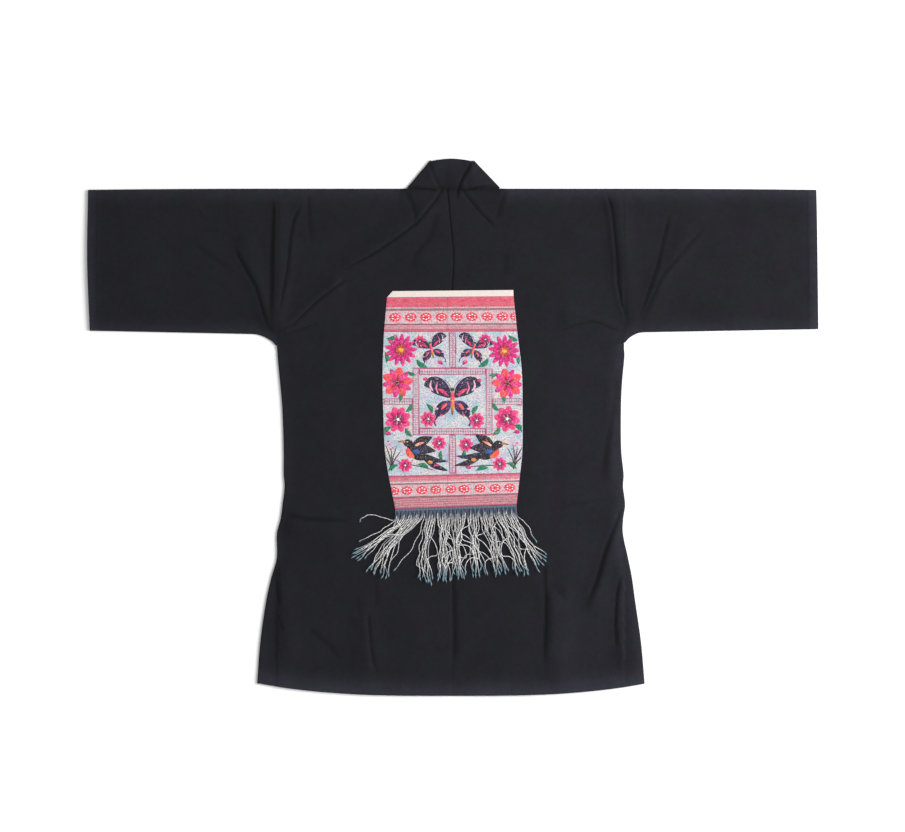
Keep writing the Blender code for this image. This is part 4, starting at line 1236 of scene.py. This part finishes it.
def paint(piece, thread):
    """Give a whole piece the colour of one thread."""
    mark_points(piece, "thread", np.tile(THREADS[thread], len(piece.data.vertices)))
    if not piece.data.uv_layers:
        piece.data.uv_layers.new(name="UVMap")
    set_chart(piece, points_of(piece)[:, :2])


def cross_rows(stitch, left, right, low, high, pitch, thread):
    """Rows of cross-stitches that fill a rectangle of the panel, given in mm."""
    bpy.ops.object.select_all(action="DESELECT")
    across = max(round((right - left) / pitch), 1)
    down = max(round((high - low) / pitch), 1)
    rows = stitch.copy()
    rows.data = stitch.data.copy()
    bpy.context.collection.objects.link(rows)
    rows.select_set(True)
    bpy.context.view_layer.objects.active = rows
    wide, tall = (right - left) / across, (high - low) / down
    rows.location = ((left + wide / 2) * MM, (low + tall / 2) * MM, PANEL_TOP + CROSS_LIFT)
    bpy.ops.object.transform_apply(location=True)
    for count, step in ((across, (wide * MM, 0, 0)), (down, (0, tall * MM, 0))):
        repeat = rows.modifiers.new("repeat", "ARRAY")
        repeat.use_relative_offset = False
        repeat.use_constant_offset = True
        repeat.constant_offset_displace = step
        repeat.count = count
        bpy.ops.object.modifier_apply(modifier=repeat.name)
    paint(rows, thread)
    return rows


# Each band: left, right, low and high, in mm
LATTICE = (
    (-71, -59, -14, 105), (59, 71, -14, 105), (-59, 59, 93, 105), (-59, 59, -14, -2),
    (-6, 6, 105, 168), (-6, 6, -82, -14), (-122, -71, 39, 51), (71, 123, 39, 51),
)
LATTICE_MARGIN, LATTICE_PITCH = 1.4, 4.2
field_cloth = bpy.data.objects["field_cloth"]
field_x, field_y, _ = points_of(field_cloth).T / MM
banded = np.zeros_like(field_x)
couched = []
crosses = []
one_cross = cross_stitch()
for left, right, low, high in LATTICE:
    banded[(field_x > left) & (field_x < right) & (field_y > low) & (field_y < high)] = 1
    inside = (left + LATTICE_MARGIN, right - LATTICE_MARGIN, low + LATTICE_MARGIN, high - LATTICE_MARGIN)
    crosses.append(cross_rows(one_cross, *inside, LATTICE_PITCH, "white"))
    for share, wide in BAND_LINES:
        if high - low > right - left:
            path = [(left + (right - left) * share, low + (high - low) * part) for part in (0, 0.5, 1)]
        else:
            path = [(left + (right - left) * part, low + (high - low) * share) for part in (0, 0.5, 1)]
        couched.append(Pad(path, (wide,), ("crimson",), 0.0))
field_cloth.data.attributes.new("band", "FLOAT", "POINT").data.foreach_set("value", banded)
join("lattice_crosses", crosses)
dress(crosses[0], SILK, slot="red_border")
sewn("lattice_lines", [(couched, (0, 0), 0, 1, 1)])

# The low border's last stretch is worked all over in rows of pale cross-stitch.
BORDER_CROSS_LEVELS = (-126.2, -130.1, -134.0, -137.9)  # how far up each row is, in mm, at the coat's middle
BORDER_SLOPE = 0.036
ROW_MIDDLE = 5.7
ROW_PITCH = 3.9
ROW_HALF_HIGH = 1.9
LAST_ROW_HALF = 107.3
ROW_TAPER = 0.16
ROW_TALL = 0.74  # each row is pressed to this share of its height, which leaves lines of rose between them
low_rows = []
for level in BORDER_CROSS_LEVELS:
    half = LAST_ROW_HALF + ROW_TAPER * (level - BORDER_CROSS_LEVELS[-1])
    edges = (ROW_MIDDLE - half, ROW_MIDDLE + half, level - ROW_HALF_HIGH, level + ROW_HALF_HIGH)
    row = cross_rows(one_cross, *edges, ROW_PITCH, "blush")
    spots = points_of(row)
    spots[:, 1] = level * MM + (spots[:, 1] - level * MM) * ROW_TALL + BORDER_SLOPE * spots[:, 0]
    row.data.vertices.foreach_set("co", spots.ravel())
    low_rows.append(row)
join("low_border_crosses", low_rows)
dress(low_rows[0], SILK, slot="red_border")
bpy.data.objects.remove(one_cross)

# The garden. Each motif is drawn once in mm about its middle, facing right, then sewn where it belongs.
LEAF = [
    Pad(((0, 0), (8, 2.6), (19, 0)), (1, 8.4, 0.8), ("green",), 0.0),
    Pad(((1, 0), (9, 2.4), (17, 0.3)), (0.9, 0.9, 0.4), ("moss",), 0.35),
]
BUD = [
    spot(0, 0, 8.5, 7.5, "magenta"),
    spot(1.6, 1.2, 5.0, 3.6, "pink", 0.3),
    spot(-3.4, -1.8, 4.0, 2.6, "violet", 0.3),
    Pad(((-4, -1), (-9, -4), (-13, -9)), (1.0, 0.9, 0.6), ("moss",), 0.0),
]
BERRIES = [
    Pad(((-12, -8), (-3, -3), (6, 6)), (0.8, 0.9, 0.5), ("brown",), 0.0),
    spot(6, 7, 4.6, 4.4, "red", 0.2),
    spot(0.5, 2.5, 4.2, 4.0, "coral", 0.2),
    spot(-5, -7, 4.4, 4.2, "red", 0.2),
    spot(-9, -2, 3.4, 3.2, "blue", 0.2),
    spot(3, -2.5, 3.0, 2.8, "pink", 0.2),
]


def petals(count, first_turn, start, reach, width, threads, lift):
    """A ring of petals from start to reach, broadest past their middle."""
    outs = (start, start * 0.4 + reach * 0.6, reach)
    widths = (width * 0.35, width, width * 0.4)
    return [
        Pad([(x * out, y * out) for out in outs], widths, threads, lift)
        for x, y in round_about(count, first_turn)
    ]


DAHLIA = petals(13, 0, 5, 22.5, 7.8, ("magenta", "magenta", "pink"), 0.0)
DAHLIA += petals(11, 14, 3, 15.0, 6.0, ("wine", "magenta", "pink"), 0.3)
DAHLIA += petals(9, 4, 2, 9.0, 4.2, ("orange", "wine"), 0.55)
DAHLIA += [spot(0, 0, 7.0, 7.0, "yellow", 0.8)]
DAHLIA += [spot(2.2 * x, 2.2 * y, 1.3, 1.3, "orange", 1.15) for x, y in round_about(6)]
BLOSSOM = petals(5, 90, 2, 25.0, 17.0, ("wine", "coral", "coral"), 0.0)
BLOSSOM += petals(5, 90, 2, 13.0, 6.0, ("wine", "red"), 0.35)
BLOSSOM += petals(5, 54, 3, 24.0, 11.5, ("magenta", "pink", "magenta"), 0.15)
BLOSSOM += [Pad(((0, 0), (7 * x, 7 * y + 1), (13 * x, 13 * y)), (0.9, 0.8, 0.6), ("amber",), 0.6)
            for x, y in round_about(7, 20)]
BLOSSOM += [spot(14 * x, 14 * y, 1.9, 1.9, "yellow", 0.6) for x, y in round_about(7, 20)]
BLOSSOM += [spot(0, 0, 4.6, 4.6, "brown", 0.7)]
PEONY = petals(8, 10, 4, 12.8, 8.0, ("magenta", "pink", "coral"), 0.0)
PEONY += petals(7, 34, 3, 9.4, 5.4, ("wine", "magenta", "red"), 0.25)
PEONY += petals(5, 12, 1, 5.8, 3.4, ("wine", "crimson"), 0.5)
PEONY += [spot(0, 0, 3.2, 3.2, "white", 0.75)]
SONGBIRD = [
    Pad(((-12, -5), (-32, -15), (-56, -20)), (8, 11, 2.4), ("black",), 0.0),
    Pad(((-13, -1), (-33, -6), (-53, -4)), (7, 9, 1.8), ("black", "ink"), 0.15),
    Pad(((-17, -7), (-6, -3), (7, 3), (16, 11)), (7, 21, 21, 11), ("black",), 0.2),
    Pad(((3, -8), (12, -3), (18, 5)), (5, 12, 6), ("orange", "coral"), 0.4),
    spot(17.5, 13.5, 16.0, 14.0, "black", 0.45),
    Pad(((22, 14), (28, 14.5), (35, 12.5)), (5.4, 3.6, 0.8), ("amber", "brown"), 0.55),
    spot(19.4, 15.2, 2.4, 2.4, "white", 0.95),
    Pad(((9, 7), (-2, 18), (-20, 31)), (11, 19, 2.6), ("black",), 0.3),
    Pad(((8, 4), (-8, 8), (-30, 9)), (11, 17, 2.4), ("ink", "black"), 0.55),
    Pad(((6, 11), (-1, 16), (-9, 20)), (4, 5.5, 2), ("sand", "orange"), 0.85),
    spot(2, 2, 13, 9, "blue", 0.95),
    spot(-24, -11, 9, 7, "amber", 0.45),
    Pad(((4, -10), (6, -15), (5, -19)), (1.2, 1.0, 0.9), ("brown",), 0.0),
    Pad(((-34, -23), (-8, -21), (18, -21), (40, -16)), (1.6, 2.2, 2.0, 1.1), ("brown", "moss"), 0.1),
]
REEDS = [
    Pad(((0, 0), (bend * 0.2, tall * 0.45), (bend * 0.6, tall * 0.75), (bend, tall)), (1.8, 2.2, 1.9, 0.7),
        ("moss", "brown", "brown"), 0.05 + 0.05 * number)
    for number, (bend, tall) in enumerate(((-15, 30), (-8, 37), (0, 33), (8, 38), (16, 27)))
]
WING = [
    Pad(((3, 6), (17, 20), (34, 30), (49, 27)), (6, 27, 31, 7), ("ink", "ink", "black"), 0.0),
    Pad(((3, 0), (13, -9), (24, -20), (28, -27)), (6, 22, 21, 6), ("violet", "ink", "ink"), 0.1),
    Pad(((25, -25), (31, -35), (28, -43)), (4.5, 2.8, 3.6), ("ink",), 0.1),
    Pad(((8, 9), (17, 17), (26, 21)), (3, 8, 2), ("magenta", "coral"), 0.45),
    Pad(((33, 17), (38, 26), (36, 36)), (2, 4.6, 2), ("pale",), 0.45),
    Pad(((24, 12), (28, 22), (25, 34)), (1.6, 3.6, 1.6), ("pale", "pink"), 0.45),
    Pad(((9, -4), (15, -9), (20, -15)), (3, 7, 2), ("orange", "coral"), 0.5),
    spot(27, -13, 5.5, 4.5, "pale", 0.5),
    spot(19, -24, 5.0, 4.5, "coral", 0.5),
    spot(43, 25, 4.0, 5.0, "blue", 0.45),
    Pad(((1.5, 19), (6, 29), (14, 37)), (0.9, 0.9, 1.8), ("brown",), 0.3),
]
PALE_DOTS = ((17, 31), (25, 38), (34, 42), (42, 41), (49, 35), (51, 28))
CORAL_DOTS = ((10, -13), (12, -20), (32, -9), (33, -17))
WING += [spot(x, y, 2.2, 1.8, "pale", 0.5) for x, y in PALE_DOTS]
WING += [spot(x, y, 2.0, 1.8, "coral", 0.5) for x, y in CORAL_DOTS]
BUTTERFLY_BODY = [
    Pad(((0, 18), (0, 2), (0, -24)), (5.5, 8.0, 2.6), ("orange", "coral", "amber", "brown"), 0.55),
    spot(0, 20, 7.5, 6.5, "moss", 0.65),
    spot(0, 10, 5.0, 5.0, "pink", 1.0),
    spot(0, 1, 4.0, 3.6, "yellow", 1.0),
]
BUTTERFLY = ((WING, 1), (WING, -1), (BUTTERFLY_BODY, 1))
# What grows on the right half of the field. The left half has the same, turned about, each a little askew.
Sprig = namedtuple("Sprig", "motif x y turn size")
BED = (
    Sprig(LEAF, 64, 122, 220, 1.30), Sprig(LEAF, 118, 156, 160, 1.10), Sprig(LEAF, 118, 112, 80, 1.10),
    Sprig(DAHLIA, 92, 136, 8, 1.30), Sprig(PEONY, 58, 154, 20, 0.85), Sprig(BUD, 22, 115, 20, 1.10),
    Sprig(LEAF, 80, 98, 200, 0.90), Sprig(LEAF, 86, 60, -70, 1.00), Sprig(BLOSSOM, 98, 78, 12, 1.12),
    Sprig(LEAF, 108, 2, -40, 1.30), Sprig(LEAF, 84, 28, 130, 1.10), Sprig(LEAF, 84, 0, 230, 1.10),
    Sprig(PEONY, 97, 14, 20, 1.85), Sprig(BUD, 115, -10, -10, 1.10), Sprig(BERRIES, 76, -9, 10, 0.80),
    Sprig(LEAF, 36, 22, 60, 1.10), Sprig(PEONY, 43, 13, 10, 1.15), Sprig(BUD, 48, 84, 0, 1.00),
    Sprig(REEDS, 108, -77, -6, 1.25), Sprig(LEAF, 96, -66, -30, 1.10), Sprig(LEAF, 42, -77, 20, 1.20),
    Sprig(LEAF, 20, -40, -100, 1.00), Sprig(SONGBIRD, 63, -46, 6, 1.07), Sprig(PEONY, 24, -30, 40, 1.05),
    Sprig(PEONY, 84, -67, 15, 1.00), Sprig(BUD, 29, -70, -20, 1.10), Sprig(BERRIES, 112, -34, 20, 0.80),
)
ASKEW_MM, ASKEW_TURN = 1.5, 5
BIG_BUTTERFLY = (0, 46, 0, 1.04)  # across, up, turn and size
SMALL_BUTTERFLY = (37, 137, -14, 0.64)


def butterfly(side, x, y, turn, size):
    return [(motif, (side * x, y), side * turn, size, flip) for motif, flip in BUTTERFLY]


garden = butterfly(RIGHT, *BIG_BUTTERFLY)
for side in (LEFT, RIGHT):
    for sprig in BED:
        place = (side * sprig.x, sprig.y + ASKEW_MM * side * math.sin(sprig.x))
        turn = side * sprig.turn + ASKEW_TURN * math.sin(sprig.y)
        garden.append((sprig.motif, place, turn, sprig.size, side))
    garden += butterfly(side, *SMALL_BUTTERFLY)
KINDS = {
    "garden_wings": (SONGBIRD, WING, BUTTERFLY_BODY),
    "garden_flowers": (DAHLIA, BLOSSOM, PEONY),
    "garden_sprigs": (BUD, BERRIES, LEAF, REEDS),
}
for name, kinds in KINDS.items():
    sewn(name, [motif for motif in garden if motif[0] in kinds])

# The fringe: the panel's own warp ends, wound in indigo where they leave the border, then twisted in pairs to
# cords of cream cotton, each tied off in a blue knot. They fall in locks that pull in and spread again.
Lock = namedtuple("Lock", "name cords waist_x waist_y waist_wide first_x first_y last_x last_y")
LOCKS = (
    Lock("stray_high", 1, -0.1440, -0.1560, 0, -0.1700, -0.1690, -0.1700, -0.1690),
    Lock("stray_left", 1, -0.1330, -0.1860, 0, -0.1660, -0.2040, -0.1660, -0.2040),
    Lock("left_high", 9, -0.1230, -0.1950, 0.016, -0.1790, -0.2200, -0.1640, -0.2400),
    Lock("left_low", 12, -0.1130, -0.2150, 0.020, -0.1540, -0.2530, -0.1130, -0.2680),
    Lock("stray_across", 1, -0.0740, -0.2150, 0, -0.1040, -0.2560, -0.1040, -0.2560),
    Lock("inner_left", 9, -0.0500, -0.2200, 0.020, -0.0610, -0.2680, -0.0330, -0.2780),
    Lock("middle_left", 11, -0.0170, -0.2150, 0.020, -0.0260, -0.2700, -0.0060, -0.2720),
    Lock("middle", 12, 0.0080, -0.2150, 0.020, 0.0010, -0.2690, 0.0240, -0.2640),
    Lock("middle_right", 10, 0.0390, -0.2060, 0.016, 0.0340, -0.2650, 0.0630, -0.2600),
    Lock("right_low", 11, 0.0730, -0.2080, 0.024, 0.0720, -0.2620, 0.1010, -0.2560),
    Lock("right", 10, 0.1080, -0.2090, 0.024, 0.1100, -0.2590, 0.1410, -0.2620),
    Lock("far_right", 8, 0.1330, -0.2040, 0.016, 0.1480, -0.2550, 0.1700, -0.2280),
    Lock("stray_right", 1, 0.1370, -0.1790, 0, 0.1500, -0.2060, 0.1500, -0.2060),
)
STRANDS = sum(lock.cords for lock in LOCKS)
STRAND_SIDE = 0.0013
STRAND_STEP = 0.0016
LEVEL_ORDER = (0, 2, 1, 3)
STRAIGHT_ROOT = 0.015
WAIST_AT = 0.58
HEADER_DEPTH = 0.0045
HEADER_THICK = 0.0016
PANEL_UNDERSIDE = EDGE_HEIGHT + SEAM_GAP
CORD_SIDES = 8
CORD_RADIUS = 0.00056
TWIST_PITCH = 0.0066
KNOT_RADIUS = 0.0014
INDIGO = np.array(linear(76, 92, 116))
CREAM = np.array(linear(250, 246, 238))
SHADOW_PLY = np.array(linear(176, 184, 200))
TEAL = np.array(linear(104, 134, 148))
# Cords that leave their lock in a wide loop: which cord, where along it, how far it swings and how tall it is
Loop = namedtuple("Loop", "cord at swing tall")
LOOPS = (
    Loop(3, 0.38, 0.022, 0.20), Loop(6, 0.45, 0.018, 0.16), Loop(9, 0.55, -0.016, 0.20),
    Loop(13, 0.58, -0.016, 0.18), Loop(17, 0.40, -0.014, 0.20), Loop(21, 0.60, 0.012, 0.18),
    Loop(26, 0.55, 0.026, 0.17), Loop(30, 0.70, -0.018, 0.16), Loop(33, 0.50, 0.030, 0.18),
    Loop(37, 0.68, 0.022, 0.14), Loop(41, 0.62, 0.034, 0.14), Loop(44, 0.42, -0.016, 0.18),
    Loop(48, 0.56, 0.032, 0.16), Loop(52, 0.72, -0.024, 0.15), Loop(55, 0.64, 0.030, 0.13),
    Loop(59, 0.50, -0.028, 0.17), Loop(63, 0.70, 0.026, 0.14), Loop(68, 0.60, -0.034, 0.15),
    Loop(71, 0.46, 0.018, 0.18), Loop(78, 0.42, -0.022, 0.18), Loop(81, 0.66, -0.026, 0.15),
    Loop(85, 0.52, 0.016, 0.18), Loop(92, 0.62, -0.020, 0.17),
)
LOOP_SAG = 0.30
CORD_STEP = 0.0019
ROOT_AT, ROOT_LEAN = 0.12, 0.08  # where a cord leaves its straight root, and how far it already leans there
UNEVEN_TIPS = 0.006
LOOSE_FROM, LOOSE_OVER = 0.10, 0.25
SLOW_SWAY, QUICK_SWAY = 0.0024, 0.0014
HOOK, HOOK_FROM = 0.0040, 0.82
KNOT_FROM_TIP, KNOT_HALF = 0.0042, 0.0016
FRAYED_OVER, FRAYED_TIP = 0.0012, 0.25  # how near its tip a cord thins, and to what share
PLY_DEPTH = 0.2
SHADOW_SIDE = -0.45
WOUND_LENGTH, WOUND_VARIES, WOUND_FADE = 0.007, 0.005, 0.006
TEAL_LENGTH = 0.020
STAIN_STRENGTH, STAIN_AT, STAIN_HALF, STAINED_OF_NINE = 0.75, 0.45, 0.022, 4
RIB_HEIGHT = 0.0004


def header_point(share):
    """A point on the seam between the panel's lower edge and the fringe's header."""
    end = PANEL_LEVELS[-1]
    return Vector((end.left_x, end.left_y)).lerp(Vector((end.right_x, end.right_y)), share)


def cord_line(number):
    """The line that a cord follows, from its root in the header to its knotted tip."""
    first = 0
    for lock in LOCKS:
        if number < first + lock.cords:
            break
        first += lock.cords
    place = (number - first + 0.5) / lock.cords
    level = LEVEL_ORDER[number % len(LEVEL_ORDER)]
    root = header_point((number + 0.5) / STRANDS) - Vector((0, SEAM_GAP + HEADER_DEPTH))
    waist = Vector((lock.waist_x + (place - 0.5) * lock.waist_wide * 0.75, lock.waist_y))
    tip = Vector((lock.first_x, lock.first_y)).lerp(Vector((lock.last_x, lock.last_y)), place)
    below = root + Vector((ROOT_LEAN * (waist.x - root.x), -STRAIGHT_ROOT))
    uneven = UNEVEN_TIPS * math.sin(2.4 * number) if lock.cords > 1 else 0
    tip += (tip - waist).normalized() * uneven
    knots = (0, ROOT_AT, WAIST_AT, 1)
    turns = (root, below, waist, tip)
    length = sum((b - a).length for a, b in zip(turns, turns[1:]))
    t = np.linspace(0, 1, max(round(length / CORD_STEP), 8))
    x = through(knots, [turn.x for turn in turns], t)
    y = through(knots, [turn.y for turn in turns], t)
    loose = smooth_step((t - LOOSE_FROM) / LOOSE_OVER)
    slow = SLOW_SWAY * np.sin(2 * math.pi * (1.1 + 0.35 * math.sin(number)) * t + 2.7 * number)
    quick = QUICK_SWAY * np.sin(2 * math.pi * (3.2 + 1.2 * math.cos(1.3 * number)) * t + 1.7 * number)
    hook = HOOK * math.sin(1.9 * number + 0.5) * np.maximum((t - HOOK_FROM) / (1 - HOOK_FROM), 0) ** 2
    sway = (slow + quick) * loose + hook
    for loop in LOOPS:
        if loop.cord == number:
            swung = bell(t - loop.at, loop.tall) * loose
            sway += loop.swing * swung
            y -= abs(loop.swing) * LOOP_SAG * swung * np.sin(3 * (t - loop.at) / loop.tall + 1.2)
    rise = PANEL_UNDERSIDE + STRAND_SIDE / 2 + STRAND_STEP * level
    start_z = PANEL_UNDERSIDE + HEADER_THICK / 2
    z = start_z + (rise - start_z) * smooth_step(t / 0.07)
    return np.stack([x + sway, y, z], axis=1), length


def twisted_cord(number):
    """One cord along its line: two plies, wound at the root, knotted near the tip and frayed at its end."""
    line, length = cord_line(number)
    sections = len(line)
    cord = new_grid(sections, CORD_SIDES + 1)
    grid = points_of(cord)
    n = np.rint((grid[:, 0] + 0.5) * (sections - 1)).astype(int)
    angle = (grid[:, 1] + 0.5) * 2 * math.pi
    ahead = np.gradient(line, axis=0)
    across = np.stack([-ahead[:, 1], ahead[:, 0], np.zeros(sections)], axis=1)
    across /= np.linalg.norm(across, axis=1)[:, None]
    along = np.linspace(0, length, sections)
    twist = 2 * math.pi * along / TWIST_PITCH + number
    to_tip = length - along
    knot = bell(to_tip - KNOT_FROM_TIP, KNOT_HALF)
    frayed = smooth_step(to_tip / FRAYED_OVER)
    radius = (CORD_RADIUS + (KNOT_RADIUS - CORD_RADIUS) * knot) * (FRAYED_TIP + (1 - FRAYED_TIP) * frayed)
    ply = np.cos(2 * (angle - twist[n]))
    swell = radius[n] * (1 + PLY_DEPTH * ply * (1 - knot[n]))
    place = line[n] + across[n] * (swell * np.cos(angle))[:, None]
    place[:, 2] += swell * np.sin(angle)
    cord.data.vertices.foreach_set("co", place.ravel())
    wound_for = WOUND_LENGTH + WOUND_VARIES * math.sin(5.1 * number)
    root = smooth_step(1 - (along - wound_for) / WOUND_FADE)
    tip = smooth_step(1.2 - to_tip / TEAL_LENGTH)
    pale = np.where((np.cos(angle - twist[n]) > SHADOW_SIDE)[:, None], CREAM, SHADOW_PLY)
    pale = pale * (0.86 + 0.18 * math.sin(2.9 * number))
    stained = number % 9 == STAINED_OF_NINE
    stain = STAIN_STRENGTH * smooth_step(1 - np.abs(along - STAIN_AT * length) / STAIN_HALF) * stained
    wound = INDIGO * (1.35 + 0.85 * math.sin(4.3 * number))
    colour = pale + (TEAL - pale) * tip[n][:, None]
    colour = colour + (wound - colour) * np.maximum(root, stain)[n][:, None]
    mark_points(cord, "thread", colour)
    set_chart(cord, np.stack([along[n], angle * CORD_RADIUS], axis=1))
    tidy_faces(merge=True, turn_over=True)
    cord.data.shade_smooth()
    return cord


def cord_finish():
    """Two-ply cotton, soft and slightly hairy."""
    material, tree, shader = new_finish("cotton_cord", 0.8, 0.2)
    colour = add_node(tree, "ShaderNodeAttribute", attribute_name="thread").outputs["Color"]
    fibres = noise(tree, uv_place(tree), 1400.0)
    grubby = blend_colours(tree, spread(tree, fibres, 0.35, 0.8, 0.0, 0.25), colour, linear(150, 146, 142))
    set_surface(tree, shader, grubby, (fibres, 0.5, 0.00015))
    return material


def fringe():
    """The header, ribbed over each cord's root, its indigo paler on each rib, darker between them and
    streaked, with all the cords.
    """
    bpy.ops.object.select_all(action="DESELECT")
    cords = [twisted_cord(number) for number in range(STRANDS)]
    header = new_grid(STRANDS * 2 + 1, 7)
    grid = points_of(header)
    spots = np.array([header_point(share) for share in grid[:, 0] + 0.5])
    down = 0.5 - grid[:, 1]
    ribs = np.abs(np.sin(grid[:, 0] * STRANDS * math.pi))
    crown = HEADER_THICK * np.sqrt(np.maximum(1 - (2 * down - 1) ** 4, 0))
    height = PANEL_UNDERSIDE + crown + RIB_HEIGHT * ribs
    place = np.stack([spots[:, 0], spots[:, 1] - SEAM_GAP - HEADER_DEPTH * down, height], axis=1)
    header.data.vertices.foreach_set("co", place.ravel())
    streaks = 0.4 + 1.2 * ribs + 0.35 * np.sin(grid[:, 0] * 261)
    mark_points(header, "thread", streaks[:, None] * INDIGO)
    set_chart(header, place[:, :2])
    join("fringe_cords", [header] + cords)
    dress(header, cord_finish(), "fringe", slot="fringe_cord")


fringe()
